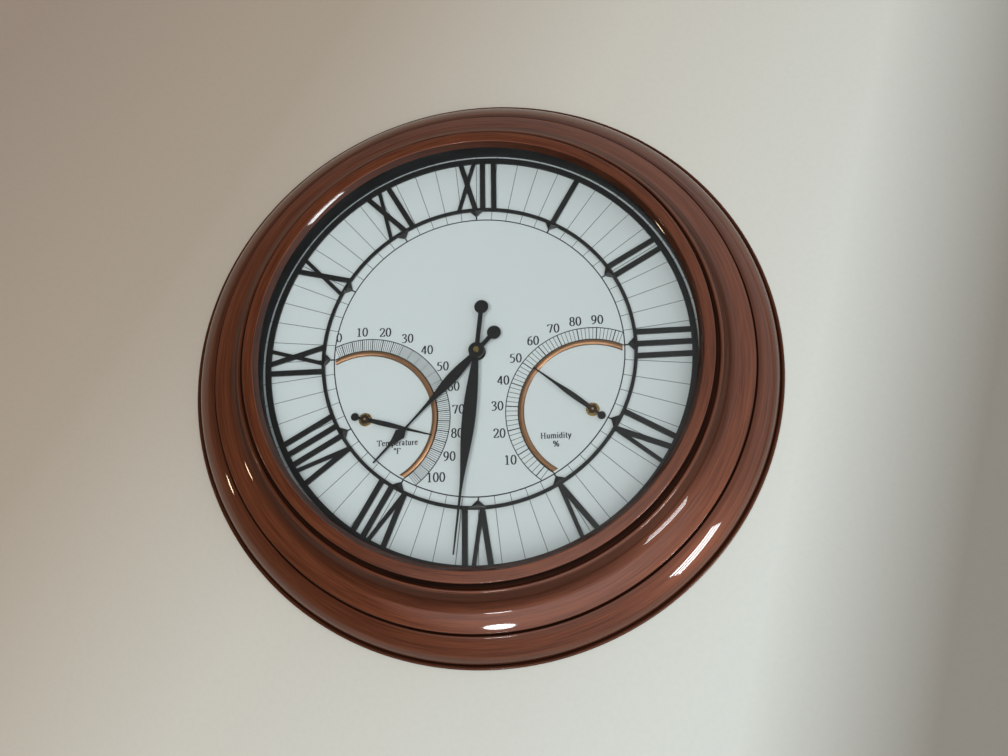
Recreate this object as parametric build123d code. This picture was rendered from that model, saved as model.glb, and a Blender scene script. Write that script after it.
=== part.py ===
from build123d import *
import math
import os

os.makedirs("parts", exist_ok=True)

# A round wall clock with a thermometer and a hygrometer on its dial, in millimetres.
# The wall is the plane y = 0, the hands turn about the Y axis and the dial faces -Y.
# A front or a back is a distance from the wall, and clock angles run clockwise from twelve.

# Clearances, and how far every cut runs past its piece
RUN_CLEARANCE = 0.05
SEAT_CLEARANCE = 0.02
OVERRUN = 2.0

# Outer frame, from its rim inwards
FRAME_RADIUS = 228.6
FLANGE_WIDTH = 3.3
FLANGE_THICKNESS = 2.0
FLANGE_GROOVE_DEPTH = 0.8
SHOULDER_WIDTH = 5.3
SHOULDER_RISE = 10.0
SHOULDER_BULGE = 1.06
ROLL_WIDTH = 18.5
ROLL_RISE = 19.0
ROLL_BULGE = 0.66
GROOVE_WIDTH = 1.6
GROOVE_DEPTH = 2.0
LEDGE_STEP = 3.0
LEDGE_WIDTH = 20.5
LEDGE_RISE = 5.2
LEDGE_BULGE = 0.25
EDGE_ROUND = 0.5
COVE_WIDTH = 7.6
COVE_RISE = 6.0
COVE_BULGE = 0.44
NECK_RUN = 4.4
NECK_RISE = 16.4
BEAD_WIDTH = 3.3
BEAD_RISE = 1.2
FRAME_WALL = 3.0
RIM_WIDTH = 7.1
COVER_SEAT_WIDTH = 4.5
COVER_SEAT_HEIGHT = 5.0

# Front bezel, glass and the black wall around the dial
BEZEL_GAP = 3.0
BEZEL_PROUD = 6.8
BEZEL_FACE_WIDTH = 7.9
BEZEL_FACE_DROP = 0.8
BEZEL_EDGE_ROUND = 0.7
BEZEL_LIP_WIDTH = 3.3
BEZEL_LIP_DROP = 4.2
BEZEL_LEG_WIDTH = 4.8
LENS_GAP = 0.5
LENS_THICKNESS = 2.5
GASKET_THICKNESS = 0.7
GASKET_SETBACK = 1.2
SEAT_THICKNESS = 2.2
SEAT_MARGIN = 0.4
WALL_SETBACK = 2.9
WALL_THICKNESS = 2.0
WALL_HEIGHT = 15.5

# Dial plate and the bosses that carry it
DIAL_THICKNESS = 1.0
DIAL_MARGIN = 9.5
BOSS_RADIUS = 3.4
BOSS_GAP = 0.6
BOSS_COUNT = 6

# Screws of the bezel, the dial and the rear cover
SCREW_RADIUS = 1.0
SCREW_LENGTH = 6.0
SCREW_HEAD_RADIUS = 2.2
SCREW_HEAD_HEIGHT = 1.4
SCREW_SLOT_WIDTH = 0.6
SCREW_SLOT_DEPTH = 0.7
BEZEL_SCREW_ANGLE = 30.0

# Raised ring of hour numerals
RING_MARGIN = 2.3
RING_OUTER_WIDTH = 4.4
RING_INNER_WIDTH = 2.6
RING_THICKNESS = 1.6
RING_STANDOFF = 0.6
NUMERAL_HEIGHT = 39.5
THICK_STROKE = 4.1
THIN_STROKE = 3.0
NUMERAL_PITCH = 9.0
V_SPREAD = 12.8
X_OUTER_SPREAD = 11.6
X_INNER_SPREAD = 13.0
PIP_WIDTH = 12.8
PIP_LENGTH = 4.6
PIP_RISE = 1.3
STUD_RADIUS = 1.1
STUD_DEPTH = 1.0

# Places of each numeral's letters along its chord, in shares of the numeral pitch
NUMERAL_SHARES = {
    1: (("I", 0.02),),
    2: (("I", -0.46), ("I", 0.51)),
    3: (("I", -1.02), ("I", 0.02), ("I", 1.06)),
    4: (("I", -1.00), ("V", 0.60)),
    5: (("V", 0.10),),
    6: (("V", -0.31), ("I", 1.07)),
    7: (("V", -0.72), ("I", 0.50), ("I", 1.46)),
    8: (("V", -1.45), ("I", -0.17), ("I", 0.80), ("I", 1.75)),
    9: (("I", -1.04), ("X", 0.38)),
    10: (("X", -0.08),),
    11: (("X", -0.36), ("I", 1.10)),
    12: (("X", -0.79), ("I", 0.57), ("I", 1.55)),
}

# Thermometer and hygrometer: two pointers on the four and eight o'clock lines, their axes at a share of
# the radius where the pips end, each reaching past the middle of its band
INSTRUMENT_PLACE_SHARE = 0.8682
THERMOMETER_ANGLE = 240.0
HYGROMETER_ANGLE = 120.0
THERMOMETER_READING = 105.7
HYGROMETER_READING = -51.2
THERMOMETER_REACH = 0.5
HYGROMETER_REACH = 2.5
POINTER_WIDTH = 3.8
POINTER_THICKNESS = 0.5
POINTER_HEIGHT = 1.8
POINTER_HUB_RADIUS = 3.2
POINTER_HUB_HEIGHT = 1.2
POINTER_TAIL = 8.0
POINTER_TAIL_RADIUS = 3.0
POINTER_TAIL_WIDTH = 1.8
BAND_RADIUS = 52.3
BAND_WIDTH = 4.2
BAND_HEIGHT = 1.5
BAND_END_GAP = 4.0
BUSH_FLANGE_RADIUS = 5.0
BUSH_FLANGE_HEIGHT = 1.2
BUSH_RADIUS = 2.6
ARBOR_RADIUS = 0.8
HOUSING_RADIUS = 17.0
HOUSING_DEPTH = 10.0
HOUSING_WALL = 1.0
BRIDGE_WIDTH = 7.0
BRIDGE_THICKNESS = 1.5
COIL_HUB_RADIUS = 2.0
COIL_STRIP = 0.4
COIL_PITCH = 1.9
COIL_HALF_TURNS = 11
COIL_HEIGHT = 5.0
COIL_POST_RADIUS = 1.1

# Outline of a pointer: runs of shares of its length and of its half-width
POINTER_SHARES = (
    ((0.02, 0.7), (0.38, 1.0), (0.62, 0.55)),
    ((0.62, 0.55), (1.0, 0.2)),
)

# Hands: lengths, widths and how they stand in front of the dial
HAND_THICKNESS = 0.8
HAND_BOSS_RADIUS = 6.0
HAND_BOSS_HEIGHT = 1.5
HOUR_HAND_HEIGHT = 3.4
HAND_PITCH = 1.8
MINUTE_HAND_ANGLE = 186.5
MINUTE_HAND_LENGTH = 152.5
MINUTE_HAND_WIDTH = 10.0
MINUTE_TAIL = 34.8
MINUTE_TAIL_RADIUS = 5.35
HOUR_HAND_ANGLE = 222.9
HOUR_HAND_LENGTH = 113.0
HOUR_HAND_WIDTH = 8.8
HOUR_TAIL = 19.2
HOUR_TAIL_RADIUS = 5.25
HAND_TAIL_WIDTH = 3.4
HAND_NUT_RADIUS = 2.1
HAND_NUT_HEIGHT = 1.6

# Outlines of the hands: runs of shares of the length and of the greatest half-width
MINUTE_HAND_SHARES = (
    ((0.02, 0.4), (0.15, 0.75), (0.33, 1.0), (0.46, 0.82), (0.59, 0.42), (0.72, 0.18)),
    ((0.72, 0.18), (1.0, 0.11)),
)
HOUR_HAND_SHARES = (
    ((0.03, 0.4), (0.12, 0.7), (0.23, 0.92), (0.33, 0.76), (0.42, 0.45), (0.52, 0.24), (0.69, 0.18)),
    ((0.69, 0.18), (0.715, 0.52), (0.745, 1.0)),
    ((0.745, 1.0), (0.8, 0.53), (0.85, 0.21)),
    ((0.85, 0.21), (1.0, 0.14)),
)

# Rear cover and its hanger
COVER_RECESS = 4.0
COVER_THICKNESS = 2.0
COVER_CLEARANCE = 0.5
COVER_SCREW_INSET = 2.6
COVER_SCREW_COUNT = 8
WINDOW_MARGIN = 3.0
WINDOW_ROUND = 4.0
HANGER_INSET = 31.5
HANGER_WIDTH = 64.0
HANGER_DROP = 30.0
HANGER_THICKNESS = 1.5
HANGER_ROUND = 5.0
KEYHOLE_RADIUS = 5.0
KEYHOLE_SLOT_WIDTH = 4.5
KEYHOLE_SLOT_LENGTH = 9.0
NAIL_ROOM = 3.0
RIVET_RADIUS = 1.6
RIVET_HEAD_RADIUS = 2.8
RIVET_HEAD_HEIGHT = 1.0
RIVET_SPAN = 44.0

# Quartz movement behind the dial
MOVEMENT_WIDTH = 56.0
MOVEMENT_HEIGHT = 56.0
MOVEMENT_DEPTH = 16.0
ARBOR_DROP = 20.0
CASE_WALL = 1.2
CASE_FRONT_WALL = 1.5
CASE_ROUND = 2.0
BACK_THICKNESS = 1.5
PIVOT_DEPTH = 0.8
POST_RADIUS = 2.0
WASHER_THICKNESS = 1.0
WASHER_RADIUS = 12.0
BUSHING_RADIUS = 4.0
BUSHING_PROUD = 0.5
PLATE_WASHER_RADIUS = 6.4
PLATE_WASHER_THICKNESS = 0.6
NUT_RADIUS = 5.6
NUT_HEIGHT = 1.6

# Battery and its two contacts
BATTERY_RADIUS = 7.25
BATTERY_LENGTH = 49.5
BATTERY_NUB_RADIUS = 2.6
BATTERY_NUB_LENGTH = 1.0
BATTERY_FRONT_WALL = 0.8
BATTERY_GAP = 0.3
CONTACT_THICKNESS = 0.5
CONTACT_WIDTH = 10.0

# Gear teeth: shares of the module, and half-widths in shares of the tooth pitch
ADDENDUM_SHARE = 0.9
DEDENDUM_SHARE = 1.25
TOOTH_ROOT_SHARE = 0.25
TOOTH_TIP_SHARE = 0.08

# Motion work between the hands and the setting knob
MOTION_DISTANCE = 11.0
CANNON_TEETH = 12
MINUTE_WHEEL_TEETH = 36
MINUTE_PINION_TEETH = 10
HOUR_WHEEL_TEETH = 40
MOTION_DIRECTION = 180.0
MINUTE_ARBOR_RADIUS = 1.5
MINUTE_TIP_RADIUS = 1.0
HOUR_PIPE_RADIUS = 2.5
WHEEL_THICKNESS = 0.8
PINION_THICKNESS = 1.4
WHEEL_GAP = 0.7
HUB_WALL = 1.1
KNOB_RADIUS = 5.5
KNOB_HEIGHT = 2.6
KNOB_GAP = 0.5
KNOB_RIBS = 24
KNOB_RIB_RADIUS = 0.35
KNOB_ARBOR_RADIUS = 0.9

# Going train from the stepper motor's rotor to the centre wheel
TRAIN_ARBOR_RADIUS = 0.6
CENTRE_MODULE = 0.30
TRAIN_MODULE = 0.27
CENTRE_TEETH = 64
THIRD_PINION_TEETH = 8
THIRD_TEETH = 60
SECOND_PINION_TEETH = 8
SECOND_TEETH = 50
INTERMEDIATE_PINION_TEETH = 10
INTERMEDIATE_TEETH = 48
ROTOR_PINION_TEETH = 8
THIRD_DIRECTION = 55.0
SECOND_DIRECTION = -30.0
INTERMEDIATE_DIRECTION = -75.0
ROTOR_DIRECTION = 225.0
ROTOR_RADIUS = 2.5
ROTOR_HEIGHT = 2.6

# Stepper motor and circuit board
STATOR_WIDTH = 32.0
STATOR_HEIGHT = 10.0
MOTOR_GAP = 1.5
STATOR_THICKNESS = 2.0
STATOR_ROTOR_GAP = 0.6
STATOR_BAR = 2.4
STATOR_HEAD = 7.8
STATOR_YOKE = 2.0
STATOR_END = 3.0
COIL_LENGTH = 14.0
WINDING_THICKNESS = 2.0
STATOR_POST_RADIUS = 1.0
BOARD_WIDTH = 12.0
BOARD_HEIGHT = 18.0
BOARD_THICKNESS = 1.0
CHIP_SIZE = 4.0
CHIP_HEIGHT = 1.2
CRYSTAL_RADIUS = 1.0
CRYSTAL_LENGTH = 6.0

# Radii of the frame's profile, from the rim inwards
roll_foot = FRAME_RADIUS - FLANGE_WIDTH
roll_top = roll_foot - ROLL_WIDTH
ledge_edge = roll_top - GROOVE_WIDTH
neck_foot = ledge_edge - LEDGE_WIDTH
neck_top = neck_foot - NECK_RUN
neck_inner = neck_top - BEAD_WIDTH
rim_inner = FRAME_RADIUS - RIM_WIDTH
cover_seat_inner = rim_inner - COVER_SEAT_WIDTH
keyhole_height = rim_inner - HANGER_INSET

# Fronts of the frame, the bezel, the glass and the dial
roll_front = FLANGE_THICKNESS + ROLL_RISE
ledge_foot = roll_front + LEDGE_STEP
ledge_front = ledge_foot + LEDGE_RISE
frame_front = ledge_front + NECK_RISE
bezel_front = frame_front + BEZEL_PROUD
bezel_edge_front = bezel_front - BEZEL_FACE_DROP
lip_front = bezel_front - BEZEL_LIP_DROP
lens_front = lip_front - GASKET_THICKNESS
seat_front = lens_front - LENS_THICKNESS
seat_back = seat_front - SEAT_THICKNESS
dial_front = seat_back - WALL_HEIGHT
dial_back = dial_front - DIAL_THICKNESS
ring_back = dial_front + RING_STANDOFF
ring_front = ring_back + RING_THICKNESS
cover_front = COVER_RECESS + COVER_THICKNESS

# Radii of the bezel, the black wall, the dial and the numeral ring
bezel_outer = neck_inner - BEZEL_GAP
bezel_face_inner = bezel_outer - BEZEL_FACE_WIDTH
bezel_inner = bezel_face_inner - BEZEL_LIP_WIDTH
bezel_leg_inner = bezel_outer - BEZEL_LEG_WIDTH
lens_radius = bezel_leg_inner - LENS_GAP
wall_inner = bezel_inner + WALL_SETBACK
wall_outer = wall_inner + WALL_THICKNESS
dial_radius = wall_inner + DIAL_MARGIN
boss_place = wall_outer + BOSS_GAP + BOSS_RADIUS
bezel_screw_place = bezel_outer - BEZEL_LEG_WIDTH / 2
ring_outer = wall_inner - RING_MARGIN
ring_outer_mid = ring_outer - RING_OUTER_WIDTH / 2
numeral_inner = ring_outer - RING_OUTER_WIDTH - NUMERAL_HEIGHT
ring_inner = numeral_inner - RING_INNER_WIDTH
ring_inner_mid = ring_inner + RING_INNER_WIDTH / 2
pip_tip = ring_inner - PIP_LENGTH
instrument_radius = INSTRUMENT_PLACE_SHARE * pip_tip

# Fronts of the hands
hour_hand_back = dial_front + HOUR_HAND_HEIGHT
minute_hand_back = hour_hand_back + HAND_PITCH
hands_front = minute_hand_back + HAND_BOSS_HEIGHT

# Fronts inside the movement, from its front wall to its back cover
movement_front = dial_back - WASHER_THICKNESS
movement_back = movement_front - MOVEMENT_DEPTH
gear_front = movement_front - CASE_FRONT_WALL
gear_back = movement_back + BACK_THICKNESS
hour_wheel_front = gear_front - WHEEL_GAP
hour_wheel_back = hour_wheel_front - WHEEL_THICKNESS
minute_wheel_front = hour_wheel_back - WHEEL_GAP
minute_wheel_back = minute_wheel_front - WHEEL_THICKNESS
centre_front = minute_wheel_back - WHEEL_GAP - HUB_WALL / 2
centre_back = centre_front - WHEEL_THICKNESS
third_front = centre_back - WHEEL_GAP - HUB_WALL / 2
third_back = third_front - WHEEL_THICKNESS
second_front = third_back - WHEEL_GAP - HUB_WALL / 2
second_back = second_front - WHEEL_THICKNESS
intermediate_front = second_back - WHEEL_GAP - HUB_WALL / 2
intermediate_back = intermediate_front - WHEEL_THICKNESS
nut_back = dial_front + PLATE_WASHER_THICKNESS
nut_front = nut_back + NUT_HEIGHT
bushing_front = nut_front + BUSHING_PROUD
half_width = MOVEMENT_WIDTH / 2
case_top = ARBOR_DROP
case_bottom = ARBOR_DROP - MOVEMENT_HEIGHT
bay_bottom = case_bottom + CASE_WALL
bay_top = bay_bottom + (BATTERY_RADIUS + BATTERY_GAP) * 2
gear_floor = bay_top + CASE_WALL
gear_roof = case_top - CASE_WALL
gear_side = half_width - CASE_WALL


def facing(front):
    """Plane parallel to the wall, seen with x to the right and z up, its normal to the viewer."""
    return Plane(origin=(0, -front, 0), x_dir=(1, 0, 0), z_dir=(0, -1, 0))


def plate(outline, back, front):
    """Flat piece of one outline between two distances from the wall."""
    return extrude(facing(back) * outline, amount=front - back)


def rod(radius, back, front, at=(0, 0)):
    """Round bar square to the wall."""
    return plate(Pos(*at) * Circle(radius), back, front)


def tube(outer, inner, back, front, at=(0, 0)):
    """Round sleeve square to the wall."""
    return plate(Pos(*at) * (Circle(outer) - Circle(inner)), back, front)


def block(left, right, low, high, back, front):
    """Square-cornered box between six planes."""
    middle = Pos((left + right) / 2, (low + high) / 2)
    return plate(middle * Rectangle(right - left, high - low), back, front)


def spin(*edges):
    """Ring turned about the hands' axis from a closed section of radii and fronts."""
    return revolve(make_face(list(edges)), axis=Axis.Y)


def run(*points):
    """Straight stretch of a section through points of radius and front."""
    return Polyline(*[(radius, -front) for radius, front in points])


def bow(start, end, bulge):
    """Arc of a section, bulging to the right of its way from start to end."""
    along = (end[0] - start[0], end[1] - start[1])
    chord = math.hypot(*along)
    middle = (
        (start[0] + end[0]) / 2 + bulge * along[1] / chord,
        (start[1] + end[1]) / 2 - bulge * along[0] / chord,
    )
    return ThreePointArc(*[(radius, -front) for radius, front in (start, middle, end)])


def on_clock(radius, angle):
    """Place at a radius and a clock angle, seen from the front."""
    return (radius * math.sin(math.radians(angle)), radius * math.cos(math.radians(angle)))


def step(at, direction, distance):
    """Place a distance away from another, in a direction counted from x to z."""
    turn = math.radians(direction)
    return (at[0] + distance * math.cos(turn), at[1] + distance * math.sin(turn))


def around(count, radius, start=0.0):
    """Evenly spaced places on a circle."""
    return [on_clock(radius, start + 360.0 * index / count) for index in range(count)]


def group(solids):
    """Separate like solids in one node."""
    return Compound(children=list(solids))


def screw(at, seat):
    """Slotted screw driven from behind, with its head against a seat."""
    head_back = seat - SCREW_HEAD_HEIGHT
    body = rod(SCREW_HEAD_RADIUS, head_back, seat, at) + rod(SCREW_RADIUS, seat, seat + SCREW_LENGTH, at)
    slot = Pos(*at) * Rectangle(SCREW_HEAD_RADIUS * 2 + OVERRUN, SCREW_SLOT_WIDTH)
    return body - plate(slot, head_back - OVERRUN, head_back + SCREW_SLOT_DEPTH)


def screw_hole(at, seat):
    """Room for a screw's shank, past its tip."""
    return rod(SCREW_RADIUS + SEAT_CLEARANCE, seat - OVERRUN, seat + SCREW_LENGTH + SEAT_CLEARANCE, at)


# Outer frame: one moulded ring with a seat for the glass and bosses for the dial
boss_places = around(BOSS_COUNT, boss_place)
bezel_screw_places = around(BOSS_COUNT, bezel_screw_place, BEZEL_SCREW_ANGLE)
cover_screw_places = around(COVER_SCREW_COUNT, rim_inner - COVER_SCREW_INSET, BEZEL_SCREW_ANGLE / 2)
corner_share = 1 - math.sqrt(2) / 2


def outer_frame():
    half_flange = FLANGE_THICKNESS / 2
    roll_start = (roll_foot, FLANGE_THICKNESS - FLANGE_GROOVE_DEPTH)
    shoulder = (roll_foot - SHOULDER_WIDTH, FLANGE_THICKNESS + SHOULDER_RISE)
    roll_end = (roll_top + EDGE_ROUND, roll_front)
    groove_start = (roll_top, roll_front - EDGE_ROUND)
    groove_end = (ledge_edge, ledge_foot - EDGE_ROUND)
    ledge_start = (ledge_edge - EDGE_ROUND, ledge_foot)
    cove_start = (neck_foot + COVE_WIDTH, ledge_front)
    cove_end = (neck_foot, ledge_front + COVE_RISE)
    bead_start = (neck_top, frame_front - BEAD_RISE)
    bead_end = (neck_inner, frame_front - BEAD_RISE)
    flange_start = (FRAME_RADIUS, half_flange)
    flange_end = (FRAME_RADIUS - half_flange, FLANGE_THICKNESS)
    body = spin(
        run((FRAME_RADIUS, 0), flange_start),
        bow(flange_start, flange_end, half_flange * corner_share),
        run(flange_end, roll_start),
        bow(roll_start, shoulder, SHOULDER_BULGE),
        bow(shoulder, roll_end, ROLL_BULGE),
        bow(roll_end, groove_start, EDGE_ROUND * corner_share),
        run(groove_start, ((roll_top + ledge_edge) / 2, roll_front - GROOVE_DEPTH), groove_end),
        bow(groove_end, ledge_start, EDGE_ROUND * corner_share),
        bow(ledge_start, cove_start, LEDGE_BULGE),
        bow(cove_start, cove_end, -COVE_BULGE),
        run(cove_end, bead_start),
        bow(bead_start, bead_end, BEAD_RISE),
        run(
            bead_end,
            (bezel_outer + SEAT_MARGIN, frame_front - BEAD_RISE),
            (bezel_outer + SEAT_MARGIN, seat_front),
            (wall_inner, seat_front),
            (wall_inner, seat_back),
            (neck_inner, seat_back),
            (neck_foot, ledge_front - FRAME_WALL),
            (roll_top, roll_front - GROOVE_DEPTH - FRAME_WALL),
            (cover_seat_inner, cover_front + COVER_SEAT_HEIGHT),
            (cover_seat_inner, cover_front),
            (rim_inner, cover_front),
            (rim_inner, 0),
            (FRAME_RADIUS, 0),
        ),
    )
    bosses = [rod(BOSS_RADIUS, dial_front, seat_front, at) for at in boss_places]
    holes = [screw_hole(at, dial_back) for at in boss_places]
    holes += [screw_hole(at, seat_back) for at in bezel_screw_places]
    holes += [screw_hole(at, cover_front - COVER_THICKNESS) for at in cover_screw_places]
    return body + bosses - holes


def front_bezel():
    face_start = (bezel_outer, bezel_edge_front - BEZEL_EDGE_ROUND)
    face_end = (bezel_outer - BEZEL_EDGE_ROUND, bezel_edge_front)
    body = spin(
        run((bezel_outer, seat_front), face_start),
        bow(face_start, face_end, BEZEL_EDGE_ROUND * corner_share),
        run(
            face_end,
            (bezel_face_inner, bezel_front),
            (bezel_inner, lip_front),
            (bezel_leg_inner, lip_front),
            (bezel_leg_inner, seat_front),
            (bezel_outer, seat_front),
        ),
    )
    return body - [screw_hole(at, seat_back) for at in bezel_screw_places]


export_step(outer_frame(), "parts/outer_frame.step")
export_step(front_bezel(), "parts/front_bezel.step")
export_step(group(screw(at, seat_back) for at in bezel_screw_places), "parts/bezel_screws.step")
export_step(
    tube(lens_radius, bezel_inner + GASKET_SETBACK, lens_front, lip_front),
    "parts/lens_gasket.step",
)
export_step(rod(lens_radius, seat_front, lens_front), "parts/glass_lens.step")
export_step(tube(wall_outer, wall_inner, dial_front, seat_back), "parts/inner_wall_ring.step")

# Dial plate, with holes for the movement, the two instruments and the numeral studs
thermometer_at = on_clock(instrument_radius, THERMOMETER_ANGLE)
hygrometer_at = on_clock(instrument_radius, HYGROMETER_ANGLE)
stud_places = around(len(NUMERAL_SHARES), ring_inner_mid) + around(len(NUMERAL_SHARES), ring_outer_mid)


def dial_plate():
    body = rod(dial_radius, dial_back, dial_front)
    cuts = [rod(BUSHING_RADIUS + SEAT_CLEARANCE, dial_back - OVERRUN, dial_front + OVERRUN)]
    for at in (thermometer_at, hygrometer_at):
        cuts.append(rod(BUSH_RADIUS + SEAT_CLEARANCE, dial_back - OVERRUN, dial_front + OVERRUN, at))
    for at in stud_places:
        cuts.append(rod(STUD_RADIUS + SEAT_CLEARANCE, dial_back - OVERRUN, dial_front + OVERRUN, at))
    for at in boss_places:
        cuts.append(screw_hole(at, dial_back))
    return body - cuts


export_step(dial_plate(), "parts/dial_plate.step")
export_step(group(screw(at, dial_back) for at in boss_places), "parts/dial_screws.step")


# Numeral ring: two rings joined by the strokes of twelve numerals, with a pip at each hour
def stroke(inner_offset, outer_offset, width):
    half = width / 2
    return Polygon(
        (inner_offset - half, ring_inner_mid),
        (inner_offset + half, ring_inner_mid),
        (outer_offset + half, ring_outer_mid),
        (outer_offset - half, ring_outer_mid),
        align=None,
    )


def letter(kind, place):
    if kind == "I":
        return [stroke(place, place, THICK_STROKE)]
    if kind == "V":
        spread = V_SPREAD / 2
        return [stroke(place, place - spread, THICK_STROKE), stroke(place, place + spread, THIN_STROKE)]
    inner = X_INNER_SPREAD / 2
    outer = X_OUTER_SPREAD / 2
    return [
        stroke(place + inner, place - outer, THICK_STROKE),
        stroke(place - inner, place + outer, THIN_STROKE),
    ]


def pip():
    """Three-sided point on the inner ring, with a ridge that rises above the ring."""
    left = (-PIP_WIDTH / 2, -ring_front, ring_inner_mid)
    right = (PIP_WIDTH / 2, -ring_front, ring_inner_mid)
    tip = (0, -ring_front, pip_tip)
    ridge = (0, -ring_front - PIP_RISE, (pip_tip + ring_inner_mid * 2) / 3)
    corners = ((left, right, tip), (left, right, ridge), (right, tip, ridge), (tip, left, ridge))
    sides = [Face(Wire.make_polygon([Vector(*corner) for corner in side])) for side in corners]
    outline = Polygon(*[(corner[0], corner[2]) for corner in (left, tip, right)], align=None)
    return Solid(Shell(sides)) + plate(outline, ring_back, ring_front)


def numeral_ring():
    ring = Circle(ring_outer) - Circle(ring_outer - RING_OUTER_WIDTH)
    ring += Circle(numeral_inner) - Circle(ring_inner)
    for hour, letters in NUMERAL_SHARES.items():
        turn = Rot(0, 0, -360.0 * hour / len(NUMERAL_SHARES))
        for kind, share in letters:
            ring += [turn * line for line in letter(kind, share * NUMERAL_PITCH)]
    pips = [Rot(0, 360.0 * hour / len(NUMERAL_SHARES), 0) * pip() for hour in NUMERAL_SHARES]
    holes = [rod(STUD_RADIUS + SEAT_CLEARANCE, ring_back - OVERRUN, ring_back + STUD_DEPTH, at)
             for at in stud_places]
    return plate(ring, ring_back, ring_front) + pips - holes


export_step(numeral_ring(), "parts/numeral_ring.step")
export_step(
    group(rod(STUD_RADIUS, dial_back, ring_back + STUD_DEPTH - SEAT_CLEARANCE, at) for at in stud_places),
    "parts/numeral_ring_studs.step",
)


# Rear cover in the frame's back rebate, with a window to the movement, and the hanger on it
def keyhole(grow):
    """Round hole for a nail's head with a slot above it."""
    slot_middle = keyhole_height + KEYHOLE_SLOT_LENGTH / 2
    slot = Pos(0, slot_middle) * Rectangle(KEYHOLE_SLOT_WIDTH + grow * 2, KEYHOLE_SLOT_LENGTH)
    top = Pos(0, keyhole_height + KEYHOLE_SLOT_LENGTH) * Circle(KEYHOLE_SLOT_WIDTH / 2 + grow)
    return Pos(0, keyhole_height) * Circle(KEYHOLE_RADIUS + grow) + slot + top


hanger_middle = keyhole_height + KEYHOLE_SLOT_LENGTH / 2
rivet_places = [(side * RIVET_SPAN / 2, hanger_middle) for side in (-1, 1)]
hanger_back = COVER_RECESS - HANGER_THICKNESS


def rear_cover():
    window = RectangleRounded(
        MOVEMENT_WIDTH + WINDOW_MARGIN * 2, MOVEMENT_HEIGHT + WINDOW_MARGIN * 2, WINDOW_ROUND
    )
    outline = Circle(rim_inner - COVER_CLEARANCE) - Pos(0, (case_top + case_bottom) / 2) * window
    outline -= keyhole(NAIL_ROOM)
    cuts = [screw_hole(at, COVER_RECESS) for at in cover_screw_places]
    cuts += [rod(RIVET_RADIUS + SEAT_CLEARANCE, COVER_RECESS - OVERRUN, cover_front + OVERRUN, at)
             for at in rivet_places]
    return plate(outline, COVER_RECESS, cover_front) - cuts


def hanger_bracket():
    outline = Pos(0, hanger_middle) * RectangleRounded(HANGER_WIDTH, HANGER_DROP, HANGER_ROUND)
    outline -= keyhole(0)
    cuts = [rod(RIVET_RADIUS + SEAT_CLEARANCE, hanger_back - OVERRUN, COVER_RECESS + OVERRUN, at)
            for at in rivet_places]
    return plate(outline, hanger_back, COVER_RECESS) - cuts


def rivet(at):
    body = rod(RIVET_RADIUS, hanger_back, cover_front, at)
    body += rod(RIVET_HEAD_RADIUS, hanger_back - RIVET_HEAD_HEIGHT, hanger_back, at)
    return body + rod(RIVET_HEAD_RADIUS, cover_front, cover_front + RIVET_HEAD_HEIGHT, at)


export_step(rear_cover(), "parts/rear_cover.step")
export_step(group(screw(at, COVER_RECESS) for at in cover_screw_places), "parts/rear_cover_screws.step")
export_step(hanger_bracket(), "parts/hanger_bracket.step")
export_step(group(rivet(at) for at in rivet_places), "parts/hanger_rivets.step")


# Hands, seen pointing up and then turned to their clock angle
def blade(runs, length, width):
    """Outline with mirrored sides, curved through shares of the length and of the half-width."""
    edges = []
    for side in (1, -1):
        for shares in runs:
            edges.append(Spline(*[(side * half * width / 2, along * length) for along, half in shares]))
    for along, half in (runs[0][0], runs[-1][-1]):
        edges.append(Line((-half * width / 2, along * length), (half * width / 2, along * length)))
    return make_face(edges)


def tailed(outline, tail, tail_radius, tail_width, hub_radius):
    """Hand outline with its hub and a round counterweight on a short bar."""
    bar = Pos(0, -tail / 2) * Rectangle(tail_width, tail)
    return outline + bar + Pos(0, -tail) * Circle(tail_radius) + Circle(hub_radius)


def minute_hand():
    outline = blade(MINUTE_HAND_SHARES, MINUTE_HAND_LENGTH, MINUTE_HAND_WIDTH)
    outline = tailed(outline, MINUTE_TAIL, MINUTE_TAIL_RADIUS, HAND_TAIL_WIDTH, HAND_BOSS_RADIUS)
    body = plate(Rot(0, 0, -MINUTE_HAND_ANGLE) * outline, minute_hand_back, minute_hand_back + HAND_THICKNESS)
    body += rod(HAND_BOSS_RADIUS, minute_hand_back, hands_front)
    return body - rod(MINUTE_TIP_RADIUS + SEAT_CLEARANCE, minute_hand_back - OVERRUN, hands_front + OVERRUN)


def hour_hand():
    outline = blade(HOUR_HAND_SHARES, HOUR_HAND_LENGTH, HOUR_HAND_WIDTH)
    outline = tailed(outline, HOUR_TAIL, HOUR_TAIL_RADIUS, HAND_TAIL_WIDTH, HAND_BOSS_RADIUS)
    boss_front = hour_hand_back + HAND_BOSS_HEIGHT
    body = plate(Rot(0, 0, -HOUR_HAND_ANGLE) * outline, hour_hand_back, hour_hand_back + HAND_THICKNESS)
    body += rod(HAND_BOSS_RADIUS, hour_hand_back, boss_front)
    return body - rod(HOUR_PIPE_RADIUS + SEAT_CLEARANCE, hour_hand_back - OVERRUN, boss_front + OVERRUN)


export_step(minute_hand(), "parts/minute_hand.step")
export_step(hour_hand(), "parts/hour_hand.step")
export_step(
    tube(HAND_NUT_RADIUS, MINUTE_TIP_RADIUS + SEAT_CLEARANCE, hands_front, hands_front + HAND_NUT_HEIGHT),
    "parts/minute_hand_nut.step",
)

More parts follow.
